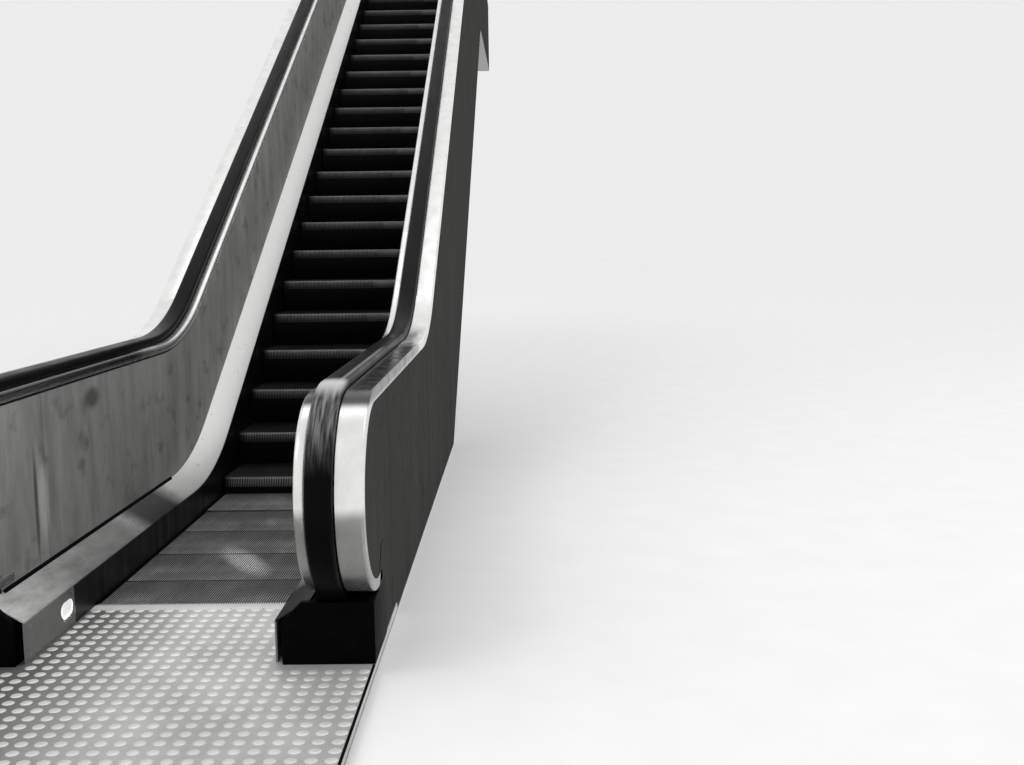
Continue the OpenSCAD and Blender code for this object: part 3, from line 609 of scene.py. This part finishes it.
def belt_loop():
    """Route and legs of the whole handrail: over the top, round the upper newel and back below the deck."""
    run, rail, s = bpy.context.scene.escalator_run, bpy.context.scene.escalator_rail, run_sizes()
    foot, straight, head = rail_line_parts(0.0, 1)
    height = rail.rail_height - 2 * rail.newel_radius
    level = ("line", s["flat"] + rail.newel_out)
    over = foot[1][1:] + [("line", straight[1][0][1] + rail.joint)] + head[1][:3]
    back = [level, ("bend", run.bend_radius + height, run.slope), ("line", s["incline"]),
            ("bend", run.bend_radius - height, -run.slope), level]
    return foot[0], over + back


def arc(centre, radius, start, end, steps):
    """Points of an arc, with its angles in degrees."""
    turns = [math.radians(start + (end - start) * i / steps) for i in range(steps + 1)]
    return [(centre[0] + radius * math.cos(turn), centre[1] + radius * math.sin(turn)) for turn in turns]


# Modelling

def only(*pieces):
    """Selects these objects alone, the first of them active."""
    bpy.ops.object.select_all(action="DESELECT")
    for piece in pieces:
        piece.select_set(True)
    bpy.context.view_layer.objects.active = pieces[0]


def named(piece, name):
    piece.name = piece.data.name = name
    return piece


def push(x, y, z):
    """In edit mode, extrudes what is selected."""
    bpy.ops.mesh.extrude_region_move(TRANSFORM_OT_translate={"value": (x, y, z)})


def place_ring(points, fill="NOTHING"):
    """In edit mode, adds a circle and shapes it into the outline through the points."""
    bpy.ops.mesh.select_all(action="DESELECT")
    bpy.ops.mesh.primitive_circle_add(vertices=len(points), radius=0.01, fill_type=fill)
    mesh = bmesh.from_edit_mesh(bpy.context.object.data)
    for vertex, point in zip([v for v in mesh.verts if v.select], points):
        vertex.co = point
    bmesh.update_edit_mesh(bpy.context.object.data)


def open_piece(name):
    """A new empty piece, in edit mode."""
    bpy.ops.object.select_all(action="DESELECT")
    bpy.ops.mesh.primitive_plane_add(size=0.01, location=(0, 0, 0))
    piece = named(bpy.context.object, name)
    bpy.ops.object.mode_set(mode="EDIT")
    bpy.ops.mesh.select_all(action="SELECT")
    bpy.ops.mesh.delete(type="VERT")
    return piece


def open_disc(vertices, radius):
    """A new disc at the origin, in edit mode, with its face selected."""
    bpy.ops.object.select_all(action="DESELECT")
    bpy.ops.mesh.primitive_circle_add(vertices=vertices, radius=radius, fill_type="NGON")
    bpy.ops.object.mode_set(mode="EDIT")
    bpy.ops.mesh.select_all(action="SELECT")
    return bpy.context.object


def leave_edit(smooth):
    """Leaves edit mode and shades smooth up to that angle, in degrees."""
    bpy.ops.object.mode_set(mode="OBJECT")
    if smooth:
        bpy.ops.object.shade_smooth_by_angle(angle=math.radians(smooth))


def close_piece(piece, smooth, merge=1e-6):
    """Merges what lies on itself, closes open ends, turns the faces outwards and leaves edit mode."""
    bpy.ops.mesh.select_all(action="SELECT")
    bpy.ops.mesh.remove_doubles(threshold=merge)
    bpy.ops.mesh.fill_holes(sides=0)
    bpy.ops.mesh.select_all(action="SELECT")
    bpy.ops.mesh.normals_make_consistent(inside=False)
    leave_edit(smooth)
    only(piece)


def sweep(section, side, route, legs, origin=None):
    """In edit mode, carries a section, drawn as (out, up) in metres, along the legs of a route."""
    if origin is None:
        origin = bpy.context.scene.escalator_run.step_width / 2
    at, heading = route.at.copy(), route.heading
    place_ring([at + route.normal() * up + Vector((side * (origin + out), 0, 0)) for out, up in section])
    for kind, size, *bend in legs:
        here = Route(at.y, at.z, heading)
        if kind == "line":
            move = here.forward() * size
            push(*move)
            at += move
        else:
            turn, *steps = bend
            count = steps[0] if steps else max(2, round(abs(turn) / BEND_STEP))
            if abs(turn) > NEWEL_TURN:
                count = NEWEL_STEPS
            centre = at + here.normal() * math.copysign(size, turn)
            bpy.ops.mesh.spin(steps=count, angle=-turn, center=centre, axis=(1, 0, 0))
            at = centre + Matrix.Rotation(turn, 3, "X") @ (at - centre)
            heading += turn


def bevel(piece, width_mm, segments):
    """Rounds the edges of a piece."""
    only(piece)
    modifier = piece.modifiers.new("edges", "BEVEL")
    modifier.width = width_mm * MM
    modifier.segments = segments
    modifier.limit_method = "ANGLE"
    modifier.angle_limit = math.radians(40)
    modifier.harden_normals = False
    bpy.ops.object.modifier_apply(modifier=modifier.name)


def array(piece, count, step):
    """Repeats a piece along a step."""
    only(piece)
    row = piece.modifiers.new("row", "ARRAY")
    row.count = count
    row.use_relative_offset = False
    row.use_constant_offset = True
    row.constant_offset_displace = step
    bpy.ops.object.modifier_apply(modifier=row.name)


def set_down(piece, place, turn=(0, 0, 0)):
    """Moves and turns a piece, in its mesh."""
    only(piece)
    piece.location, piece.rotation_euler = place, turn
    bpy.ops.object.transform_apply(location=True, rotation=True, scale=True)
    return piece


def copy_to(piece, place, turn=(0, 0, 0)):
    """A copy of a piece, moved and turned."""
    only(piece)
    bpy.ops.object.duplicate()
    return set_down(bpy.context.object, place, turn)


def upper_copy(piece):
    """A copy of a piece of the lower landing, turned round at the upper landing."""
    s = run_sizes()
    return copy_to(piece, (0, s["y_end"], s["rise"]), (0, 0, math.pi))


def join(pieces):
    only(*pieces)
    bpy.ops.object.join()
    return bpy.context.object


def hand_over(piece, slot, materials, *nodes):
    """Gives a finished piece its finishes and its body, and hides the nodes that it stands for. Its slot is
    not used.
    """
    while len(piece.data.materials) < len(materials):
        piece.data.materials.append(None)
    for i, key in enumerate(materials):
        piece.data.materials[i] = finish(key)
    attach(piece, BODY)
    if nodes:
        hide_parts(*nodes)


# Operators

class PieceOperator:
    """What the operators of this object share"""
    bl_options = {"REGISTER", "UNDO"}

    def execute(self, context):
        self.make(context.scene.escalator_run, context.scene.escalator_rail, context.scene)
        return {"FINISHED"}


class SweptOperator(PieceOperator):
    """Carries a section along the parts of a line, once on each side. Sections are in metres, out from the
    steps and up over their line or the handrail's crown."""
    merge = 1e-6
    node = None

    def make(self, run, rail, scene):
        for name, side in SIDES.items():
            piece = open_piece(f"{self.piece}_{name}")
            for route, legs in self.parts(run, rail):
                sweep(self.section(rail), side, route, legs)
            close_piece(piece, 50, self.merge)
            hand_over(piece, self.slot, [self.finish], *([f"{self.node}_{name}"] if self.node else []))


class ESCALATOR_OT_handrails(SweptOperator, bpy.types.Operator):
    """Makes the two handrail belts, each one closed loop"""
    bl_idname = "escalator.handrails"
    bl_label = "Handrails"
    piece, node, slot, finish = "handrail_belt", "handrail", "handrail_rubber", "rubber"
    merge = 2e-4

    def parts(self, run, rail):
        return [belt_loop()]

    def section(self, rail):
        """C-shaped rubber belt with round shoulders and two lips."""
        left, right, depth = rail.rail_out, rail.rail_out + rail.rail_width, rail.rail_depth
        wall, crown, round_r, drop = 13.4 * MM, 12 * MM, 14 * MM, 1.2 * MM
        outer = [(left + wall, -crown), (left + wall, -depth + 1 * MM), (left + wall - 1 * MM, -depth),
                 (left + 3 * MM, -depth), (left + 0.8 * MM, -depth + 0.8 * MM), (left, -depth + 3 * MM)]
        outer += arc((left + round_r, -round_r - drop), round_r, 180, 97, 6)
        other = [(left + right - u, v) for u, v in reversed(outer)]
        return outer + [((left + right) / 2, 0.0)] + other


class ESCALATOR_OT_trims(SweptOperator, bpy.types.Operator):
    """Makes the mouldings on the inner side of the handrails"""
    bl_idname = "escalator.trims"
    bl_label = "Trims"
    piece, node, slot, finish = "handrail_trim", "trim", "bright_steel", "bright"

    def parts(self, run, rail):
        return rail_line_parts(rail.trim_tail)

    def section(self, rail):
        """Moulding beside the handrail, round at its inner edge."""
        left, right = rail.trim_out, rail.rail_out - 0.5 * MM
        top, foot, round_r = -38 * MM, -74 * MM, 11 * MM
        return ([(right, foot), (left + 2 * MM, foot), (left, foot + 2 * MM)]
                + arc((left + round_r, top - round_r), round_r, 180, 90, 7)
                + [(right - 1 * MM, top), (right, top - 1 * MM)])


class ESCALATOR_OT_outer_decks(SweptOperator, bpy.types.Operator):
    """Makes the cover sheets on the outer side of the handrails"""
    bl_idname = "escalator.outer_decks"
    bl_label = "Outer decks"
    piece, node, slot, finish = "outer_deck_cover", "outer_deck", "bright_steel", "bright"

    def parts(self, run, rail):
        return rail_line_parts(rail.trim_tail)

    def section(self, rail):
        """Cover sheet with a round outer edge and a lip down both sides."""
        left = rail.rail_out + rail.rail_width + 1 * MM
        right = rail.rail_out + rail.rail_width + rail.outer_width
        top, foot, inner_foot, t = -30 * MM, -70 * MM, -74 * MM, rail.sheet
        inner_r, outer_r = 3 * MM, 8 * MM
        corner = (right - outer_r, top - outer_r)
        return ([(left, inner_foot)] + arc((left + inner_r, top - inner_r), inner_r, 180, 90, 3)
                + arc(corner, outer_r, 90, 0, 5) + [(right, foot), (right - t, foot)]
                + arc(corner, outer_r - t, 0, 90, 3) + [(left + t, top - t), (left + t, inner_foot)])


class ESCALATOR_OT_inner_decks(SweptOperator, bpy.types.Operator):
    """Makes the sloping decks beside the steps"""
    bl_idname = "escalator.inner_decks"
    bl_label = "Inner decks"
    piece, node, slot, finish = "inner_deck_sheet", "inner_deck", "bright_steel", "deck"

    def parts(self, run, rail):
        return step_line_parts(rail.deck_end)

    def section(self, rail):
        """Sloping deck sheet between the skirt and the panels, with a hemmed foot."""
        u0, u1, v0, v1 = rail.skirt_gap, rail.panel_out, rail.skirt_height, rail.deck_height
        t = rail.sheet * 1.25
        return [(u0, v0 - t), (u0, v0 - 1 * MM), (u0 + 1 * MM, v0 + 0.2 * MM), (u1, v1), (u1, v1 - t)]


class ESCALATOR_OT_seals(SweptOperator, bpy.types.Operator):
    """Makes the rubber seals at the foot of the panels, along the level landings"""
    bl_idname = "escalator.seals"
    bl_label = "Panel seals"
    piece, slot, finish = "panel_seals", "handrail_rubber", "seal"

    def parts(self, run, rail):
        s = run_sizes()
        legs = [("line", s["flat"] + rail.newel_out)]
        return [(Route(-rail.newel_out, run.floor_height), legs),
                (Route(s["y_end"] - s["flat"], s["z_hi"]), legs)]

    def section(self, rail):
        """Rubber bead between the inner deck and the panels."""
        u, v = rail.panel_out, rail.deck_height
        return [(u - 8 * MM, v - 4.7 * MM), (u, v), (u, v + 8 * MM), (u - 2 * MM, v + 7 * MM),
                (u - 5 * MM, v + 2 * MM)]


class ESCALATOR_OT_steps(PieceOperator, bpy.types.Operator):
    """Makes the cleated steps, in one piece for each landing and flight"""
    bl_idname = "escalator.steps"
    bl_label = "Steps"

    nodes = ("steps_lower_landing", "step_flight_1", "step_flight_2", "step_flight_3", "steps_upper_landing")
    skin = 12 * MM
    riser_angle = math.radians(32)
    end_gap = 0.3 * MM
    hang = 0.25  # a step reaches down less than this under its nose

    def outline(self, run):
        """Section across a step: cleats over grooves, on a thin flat skin."""
        half, pitch = run.step_width / 2, run.step_width / run.cleats
        foot, top, groove = 2.4 * MM, 1.9 * MM, -run.cleat_height
        points = [(-half, -self.skin), (-half, groove)]
        for i in range(run.cleats):
            x = -half + (i + 0.5) * pitch
            points += [(x - foot, groove), (x - top, 0.0), (x + top, 0.0), (x + foot, groove)]
        return points + [(half, groove), (half, -self.skin)]

    def pattern(self, run):
        """One whole step, its nose at the origin: riser, rounded nose, tread."""
        pitch, tip = run.step_pitch, self.skin
        lean = math.asin(tip / (pitch - tip))
        band = run.nose_band / pitch
        low = math.pi + self.riser_angle
        piece = open_piece("step_pattern")
        route = Route(pitch + pitch * math.cos(low), pitch * math.sin(low), math.pi / 2 + self.riser_angle)
        legs = [("bend", pitch, -(self.riser_angle - lean - band), 5), ("bend", pitch, -band, 1),
                ("bend", tip, -(math.pi / 2 + lean), 4),
                ("line", pitch - run.step_gap - (pitch - (pitch - tip) * math.cos(lean)))]
        sweep(self.outline(run), 1, route, legs, origin=0.0)
        close_piece(piece, 0)
        for key in ("casting", "cleat", "nose"):
            piece.data.materials.append(finish(key))
        on_cleats = pitch - run.cleat_height * 1.15
        for face in piece.data.polygons:
            c = face.center
            if c.z > -0.2 * MM and c.y > tip:
                face.material_index = 1
            elif c.z > -run.nose_band and math.hypot(c.y - pitch, c.z) > on_cleats and face.normal.y < 0.3:
                face.material_index = 2
        return piece

    def cut(self, piece, place, normal):
        """Cuts off what lies on the side of a plane that its normal points to."""
        only(piece)
        bpy.ops.object.mode_set(mode="EDIT")
        bpy.ops.mesh.select_all(action="SELECT")
        bpy.ops.mesh.bisect(plane_co=place, plane_no=normal, use_fill=True, clear_outer=True)
        bpy.ops.object.mode_set(mode="OBJECT")

    def make(self, run, rail, scene):
        pattern = self.pattern(run)
        groups = {node: [] for node in self.nodes}
        spans = {node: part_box(node) for node in self.nodes}
        ground = spans["steps_lower_landing"][0].z
        first, last = self.end_gap, run_sizes()["y_end"] - self.end_gap
        k = -1
        while step_place(k).y < last:
            place = step_place(k)
            step = copy_to(pattern, place)
            if place.y < first:
                self.cut(step, (0, first, 0), (0, -1, 0))
            if place.y + run.step_pitch > last + self.end_gap:
                self.cut(step, (0, last, 0), (0, 1, 0))
            if place.z - self.hang < ground:
                self.cut(step, (0, 0, ground), (0, 0, -1))
            middle = max(place.y, first) + run.step_pitch / 2
            node = min(groups, key=lambda n: max(spans[n][0].y - middle, middle - spans[n][1].y))
            groups[node].append(step)
            k += 1
        for node, steps in groups.items():
            piece = named(join(steps), node.replace("step", "cleated_step", 1))
            hand_over(piece, "step_casting", ["casting", "cleat", "nose"], node)
        bpy.data.objects.remove(pattern)


class ESCALATOR_OT_combs(PieceOperator, bpy.types.Operator):
    """Makes the combs: ridged segments with teeth that run between the cleats"""
    bl_idname = "escalator.combs"
    bl_label = "Combs"

    depth, rise, tooth = 60 * MM, 3 * MM, 26 * MM
    under, comb_line = -20 * MM, -0.3 * MM
    segments, joint = 3, 0.5 * MM

    def bar(self, x0, x1, side_view):
        """In edit mode, adds a bar across the machine with that side view."""
        place_ring([Vector((x0, y, z)) for y, z in side_view])
        push(x1 - x0, 0, 0)

    def make(self, run, rail, scene):
        half, pitch = run.step_width / 2, run.step_width / run.cleats
        depth, rise, reach = self.depth, self.rise, self.tooth
        edge = half + rail.skirt_gap - 1 * MM
        base = open_piece("comb_lower_toothed")
        # the joints lie over cleats, between two teeth
        joints = [-half + (run.cleats * i // self.segments + 0.5) * pitch for i in range(1, self.segments)]
        side_view = [(-depth, self.under), (-depth, 0), (-depth * 0.55, rise * 0.6),
                     (self.comb_line, rise * 0.6), (self.comb_line, self.under)]
        for x0, x1 in zip([-edge] + joints, joints + [edge]):
            self.bar(x0 + self.joint / 2, x1 - self.joint / 2, side_view)
        close_piece(base, 0)
        bevel(base, 0.6, 1)
        tooth = open_piece("comb_tooth")
        half_tooth = 1.35 * MM
        self.bar(-half + pitch - half_tooth, -half + pitch + half_tooth,
                 [(-depth * 0.8, rise * 0.3), (-depth * 0.55, rise), (reach * 0.35, rise),
                  (reach * 0.9, -2.4 * MM), (reach, -4.2 * MM), (reach * 0.9, -5 * MM), (-1 * MM, -6 * MM),
                  (-depth * 0.8, 0)])
        close_piece(tooth, 0)
        array(tooth, run.cleats - 1, (pitch, 0, 0))
        lower = set_down(join([base, tooth]), (0, 0, run.floor_height))
        upper = named(upper_copy(lower), "comb_upper_toothed")
        for comb, node in ((lower, "comb_lower"), (upper, "comb_upper")):
            hand_over(comb, "comb_aluminium", ["comb"], node)


class ESCALATOR_OT_floor_studs(PieceOperator, bpy.types.Operator):
    """Makes the rows of round studs on both floors"""
    bl_idname = "escalator.floor_studs"
    bl_label = "Floor studs"

    dome = ((0.62, 0.86), (0.3, 0.66), (0.08, 0.4))  # share of the height, and of the radius that is left
    margin_side, margin_end, margin_comb, sunk = 20 * MM, 50 * MM, 35 * MM, 0.1 * MM

    def make(self, run, rail, scene):
        floor = scene.escalator_floor
        low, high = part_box("floor_plate_lower")
        stud = open_disc(14, floor.stud_radius)
        for rise, shrink in self.dome:
            push(0, 0, floor.stud_height * rise)
            bpy.ops.transform.resize(value=(shrink, shrink, 1))
        bpy.ops.object.mode_set(mode="OBJECT")
        across = int((high.x - self.margin_side) / floor.stud_across)
        along = int((high.y - low.y - self.margin_end) / floor.stud_along)
        array(stud, 2 * across + 1, (floor.stud_across, 0, 0))
        array(stud, along, (0, floor.stud_along, 0))
        front_row = -rail.skirt_gap - self.margin_comb - (along - 0.5) * floor.stud_along
        set_down(stud, (-across * floor.stud_across, front_row, run.floor_height - self.sunk))
        self.clear_boots(stud, run, floor, front_row)
        leave_edit(40)
        upper = upper_copy(stud)
        for piece, name in ((stud, "floor_studs_lower"), (upper, "floor_studs_upper")):
            hand_over(named(piece, name), "floor_aluminium", ["stud"])

    def clear_boots(self, stud, run, floor, front_row):
        """Takes away the studs that would stand in the boots and skirts, and stays in edit mode."""
        boot_front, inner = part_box("boot_lower_right")[0].y, run.step_width / 2
        bpy.ops.object.mode_set(mode="EDIT")
        mesh = bmesh.from_edit_mesh(stud.data)
        for vertex in mesh.verts:
            x = round(vertex.co.x / floor.stud_across) * floor.stud_across
            y = front_row + round((vertex.co.y - front_row) / floor.stud_along) * floor.stud_along
            vertex.select = y + floor.stud_radius > boot_front and abs(x) + floor.stud_radius > inner
        mesh.select_flush_mode()
        bmesh.update_edit_mesh(stud.data)
        bpy.ops.mesh.delete(type="VERT")


class ESCALATOR_OT_boots(PieceOperator, bpy.types.Operator):
    """Makes the moulded boots over the handrails' inlets"""
    bl_idname = "escalator.boots"
    bl_label = "Boots"

    nodes = ("boot_lower_left", "boot_lower_right", "boot_upper_left", "boot_upper_right")
    box_under_top = 125 * MM
    side_skin = 6 * MM

    def make(self, run, rail, scene):
        outside = run.step_width / 2 + rail.rail_out + rail.rail_width + rail.outer_width - self.side_skin
        for node in self.nodes:
            only(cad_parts[node])
            bpy.ops.object.duplicate()
            piece = named(bpy.context.object, node + "_cover")
            piece.parent = None
            for key in [k for k in piece.keys() if k.startswith("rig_")]:
                del piece[key]
            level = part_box(node)[1].z - self.box_under_top
            bpy.ops.object.mode_set(mode="EDIT")
            bpy.ops.mesh.select_all(action="SELECT")
            bpy.ops.mesh.remove_doubles(threshold=1e-5)
            bpy.ops.mesh.dissolve_limited(angle_limit=math.radians(1))
            bpy.ops.mesh.select_all(action="SELECT")
            bpy.ops.mesh.bisect(plane_co=(0, 0, level), plane_no=(0, 0, 1))
            bpy.ops.object.mode_set(mode="OBJECT")
            bevel(piece, 5, 4)
            leave_edit(50)
            for key in ("boot", "cladding"):
                piece.data.materials.append(finish(key))
            # above its box the boot's outer side is closed by a plate of the cladding
            for face in piece.data.polygons:
                face.material_index = int(face.center.z > level and abs(face.center.x) > outside)
            hand_over(piece, "boot_plastic", ["boot", "cladding"], node)


class ESCALATOR_OT_edgings(PieceOperator, bpy.types.Operator):
    """Makes the rubber edgings of the floors and the foot plates of the end panels"""
    bl_idname = "escalator.edgings"
    bl_label = "Edgings and panel feet"

    edging, inset = 9 * MM, 0.5 * MM
    foot_along, foot_up = (-0.495, -0.322), (0.195, 0.336)
    foot_back, foot_sheet = 0.6 * MM, 4 * MM

    def blocks(self, name, run, across, along, up):
        """A piece of one block at each end on each side, between two places on each axis."""
        piece = open_piece(name)
        for y, z, way in ends(run):
            for side in SIDES.values():
                ranges = ([side * a for a in across], [y + way * a for a in along], [z + a for a in up])
                bpy.ops.mesh.primitive_cube_add(size=1, location=[(a + b) / 2 for a, b in ranges],
                                                scale=[abs(b - a) for a, b in ranges])
        close_piece(piece, 0)
        return piece

    def make(self, run, rail, scene):
        low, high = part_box("floor_plate_lower")
        edge, boot_front = high.x - self.inset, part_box("boot_lower_right")[0].y
        panel = run.step_width / 2 + rail.panel_out + self.foot_back
        edging = self.blocks("floor_edgings", run, (edge - self.edging, edge),
                             (low.y + 1 * MM, boot_front - 1 * MM), (-1 * MM, 0.3 * MM))
        hand_over(edging, "handrail_rubber", ["seal"])
        feet = self.blocks("end_panel_feet", run, (panel, panel + self.foot_sheet), self.foot_along,
                           self.foot_up)
        hand_over(feet, "brushed_panel", ["panel"])


class ESCALATOR_OT_skirt_lights(PieceOperator, bpy.types.Operator):
    """Makes the oval lights in the skirts' ends, each a lens in a bezel"""
    bl_idname = "escalator.skirt_lights"
    bl_label = "Skirt lights"

    long, tall, deep, proud = 122 * MM, 92 * MM, 6 * MM, 0.4 * MM
    out, up = 260 * MM, 81 * MM

    def make(self, run, rail, scene):
        face = run.step_width / 2 + rail.skirt_gap
        flat, radius = (self.long - self.tall) / 2, self.tall / 2
        oval = arc((flat, 0), radius, -90, 90, 16) + arc((-flat, 0), radius, 90, 270, 16)
        piece = open_piece("skirt_light_lenses")
        for y, z, way in ends(run):
            for side in SIDES.values():
                x, middle = side * (face + self.deep), y - way * self.out
                place_ring([(x, middle + a, z + self.up + b) for a, b in oval], "NGON")
                push(-side * (self.deep + self.proud), 0, 0)
                bpy.ops.mesh.inset(thickness=4 * MM)
                bpy.ops.mesh.inset(thickness=0.8 * MM, depth=-1.2 * MM)
                mesh = bmesh.from_edit_mesh(piece.data)
                for polygon in mesh.faces:
                    if polygon.select:
                        polygon.material_index = 1
                bmesh.update_edit_mesh(piece.data)
                bpy.ops.mesh.inset(thickness=6 * MM, depth=0.5 * MM)
                bpy.ops.mesh.inset(thickness=8 * MM, depth=0.2 * MM)
        for key in ("bright", "lens"):
            piece.data.materials.append(finish(key))
        close_piece(piece, 30)
        hand_over(piece, "light_lens", ["bright", "lens"], "skirt_lights")


class ESCALATOR_OT_screws(PieceOperator, bpy.types.Operator):
    """Makes the countersunk screws of the skirt ends, combs and comb plates"""
    bl_idname = "escalator.screws"
    bl_label = "Screws"

    comb_x, comb_y = (0.04, 0.12, 0.24, 0.36), -0.052
    skirt_y, skirt_z = (-0.57, -0.385), (0.02, 0.115)

    def make(self, run, rail, scene):
        screw = open_disc(16, 4.5 * MM)
        push(0, 0, 0.35 * MM)
        bpy.ops.mesh.inset(thickness=1.2 * MM, depth=0.25 * MM)
        bpy.ops.mesh.inset(thickness=1.4 * MM)
        bpy.ops.mesh.inset(thickness=0.1 * MM, depth=-0.5 * MM)
        leave_edit(35)
        face, floor = run.step_width / 2 + rail.skirt_gap, run.floor_height
        copies = [copy_to(screw, (side * x, self.comb_y, floor))
                  for side in SIDES.values() for x in self.comb_x]
        copies += [copy_to(screw, (side * face, y, floor + z), (0, -side * math.pi / 2, 0))
                   for side in SIDES.values() for y in self.skirt_y for z in self.skirt_z]
        below = join(copies)
        above = upper_copy(below)
        for piece, name in ((below, "screws_lower_landing"), (above, "screws_upper_landing")):
            hand_over(named(piece, name), "satin_steel", ["bright"])
        bpy.data.objects.remove(screw)


class ESCALATOR_OT_plain_nodes(PieceOperator, bpy.types.Operator):
    """Gives the pieces that stay as they are their finishes"""
    bl_idname = "escalator.plain_nodes"
    bl_label = "Panels, skirts and structure"

    finishes = {
        "panels": "panel", "cladding": "cladding", "skirt_ends": "skirt_end", "skirt": "skirt",
        "floor_plate": "plate", "comb_plate": "plate", "comb": "comb", "inner_deck": "deck",
        "bottom_plate": "soffit_paint", "soffit": "soffit_paint", "handrail": "rubber", "boot": "boot",
        "trim": "bright", "outer_deck": "bright", "step": "casting", "step_tracks": "steel_paint",
    }

    def make(self, run, rail, scene):
        for name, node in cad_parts.items():
            keys = [key for key in self.finishes if name.startswith(key)]
            node.data.materials.clear()
            node.data.materials.append(finish(self.finishes[max(keys, key=len)] if keys else "steel_paint"))


class ESCALATOR_OT_stage(PieceOperator, bpy.types.Operator):
    """Sets the pale floor, the soft light and the camera"""
    bl_idname = "escalator.stage"
    bl_label = "Studio"

    lamps = (("key", (-4.0, -5.0, 9.0), 130, 3.0), ("fill", (6.0, 2.0, 10.0), 90, 6.0))
    over_lamp = (14.0, 120, 8.0)
    backdrop = 0.915  # strength of the backdrop that the camera sees, to meet the lit floor at the horizon
    landing_aim, aim_height = 2.0, 1.0

    def camera(self, stage):
        """A camera at its place, pitched, turned and rolled."""
        p, y, r = stage.camera_pitch, stage.camera_yaw, stage.camera_roll
        ahead = Vector((math.sin(y) * math.cos(p), math.cos(y) * math.cos(p), math.sin(p)))
        right = Vector((math.cos(y), -math.sin(y), 0.0))
        up = right.cross(ahead)
        right, up = math.cos(r) * right + math.sin(r) * up, math.cos(r) * up - math.sin(r) * right
        bpy.ops.object.camera_add(location=stage.camera_place,
                                  rotation=Matrix((right, up, -ahead)).transposed().to_euler())
        camera = bpy.context.object
        camera.data.sensor_width = 36.0
        camera.data.sensor_fit = "HORIZONTAL"
        camera.data.lens = stage.lens
        camera.data.clip_end = 200.0
        return camera

    def world(self, stage):
        """An even pale sky, a little dimmer where the camera sees it."""
        world = bpy.data.worlds.new("soft_studio")
        world.use_nodes = True
        tree = world.node_tree
        sky = tree.nodes["Background"]
        sky.inputs["Color"].default_value = rgba(stage.pale)
        seen = add(tree, "ShaderNodeLightPath").outputs["Is Camera Ray"]
        tree.links.new(ranged(tree, seen, 0.0, 1.0, 1.0, self.backdrop), sky.inputs["Strength"])
        return world

    def lamp(self, name, place, power, size, aim):
        bpy.ops.object.light_add(type="AREA", location=place)
        lamp = bpy.context.object
        lamp.name = f"{name}_lamp"
        lamp.data.energy = power
        lamp.data.size = size
        lamp.rotation_euler = (aim - Vector(place)).to_track_quat("-Z", "Y").to_euler()

    def make(self, run, rail, scene):
        stage = scene.escalator_stage
        scene.view_settings.view_transform = "Standard"
        scene.world = self.world(stage)
        bpy.ops.object.select_all(action="DESELECT")
        bpy.ops.mesh.primitive_plane_add(size=120.0, location=(0, 0, -0.5 * MM))
        floor = bpy.context.object
        floor.name = "studio_floor"
        floor.data.materials.append(studio_paper(stage.pale))
        for name, place, power, size in self.lamps:
            self.lamp(name, place, power, size, Vector((0, self.landing_aim, self.aim_height)))
        middle = run_sizes()["y_end"] / 2
        height, power, size = self.over_lamp
        self.lamp("over", (0.0, middle, height), power, size, Vector((0, middle, self.aim_height)))
        scene.camera = self.camera(stage)


STEPS_IN_ORDER = (
    ESCALATOR_OT_stage, ESCALATOR_OT_plain_nodes, ESCALATOR_OT_handrails, ESCALATOR_OT_trims,
    ESCALATOR_OT_outer_decks, ESCALATOR_OT_inner_decks, ESCALATOR_OT_seals, ESCALATOR_OT_steps,
    ESCALATOR_OT_combs, ESCALATOR_OT_floor_studs, ESCALATOR_OT_boots, ESCALATOR_OT_edgings,
    ESCALATOR_OT_skirt_lights, ESCALATOR_OT_screws,
)
GROUPS = {"escalator_run": RunSizes, "escalator_rail": RailSizes, "escalator_floor": FloorSizes,
          "escalator_finishes": Finishes, "escalator_stage": StageSizes}


class ESCALATOR_PT_panel(bpy.types.Panel):
    """Sizes, finishes and pieces of the escalator"""
    bl_label = "Escalator"
    bl_idname = "ESCALATOR_PT_panel"
    bl_space_type = "VIEW_3D"
    bl_region_type = "UI"
    bl_category = "Escalator"

    def draw(self, context):
        for name, group in GROUPS.items():
            box = self.layout.box()
            box.label(text=group.__doc__)
            for field in group.__annotations__:
                box.prop(getattr(context.scene, name), field)
        for operator in STEPS_IN_ORDER:
            self.layout.operator(operator.bl_idname)


def register():
    for cls in (*GROUPS.values(), *STEPS_IN_ORDER, ESCALATOR_PT_panel):
        bpy.utils.register_class(cls)
    for name, group in GROUPS.items():
        setattr(bpy.types.Scene, name, PointerProperty(type=group))


def unregister():
    for name in GROUPS:
        delattr(bpy.types.Scene, name)
    for cls in (ESCALATOR_PT_panel, *reversed(STEPS_IN_ORDER), *GROUPS.values()):
        bpy.utils.unregister_class(cls)


def main():
    register()
    for operator in STEPS_IN_ORDER:
        group, name = operator.bl_idname.split(".")
        getattr(getattr(bpy.ops, group), name)()
    bpy.context.view_layer.update()


if __name__ == "__main__":
    main()
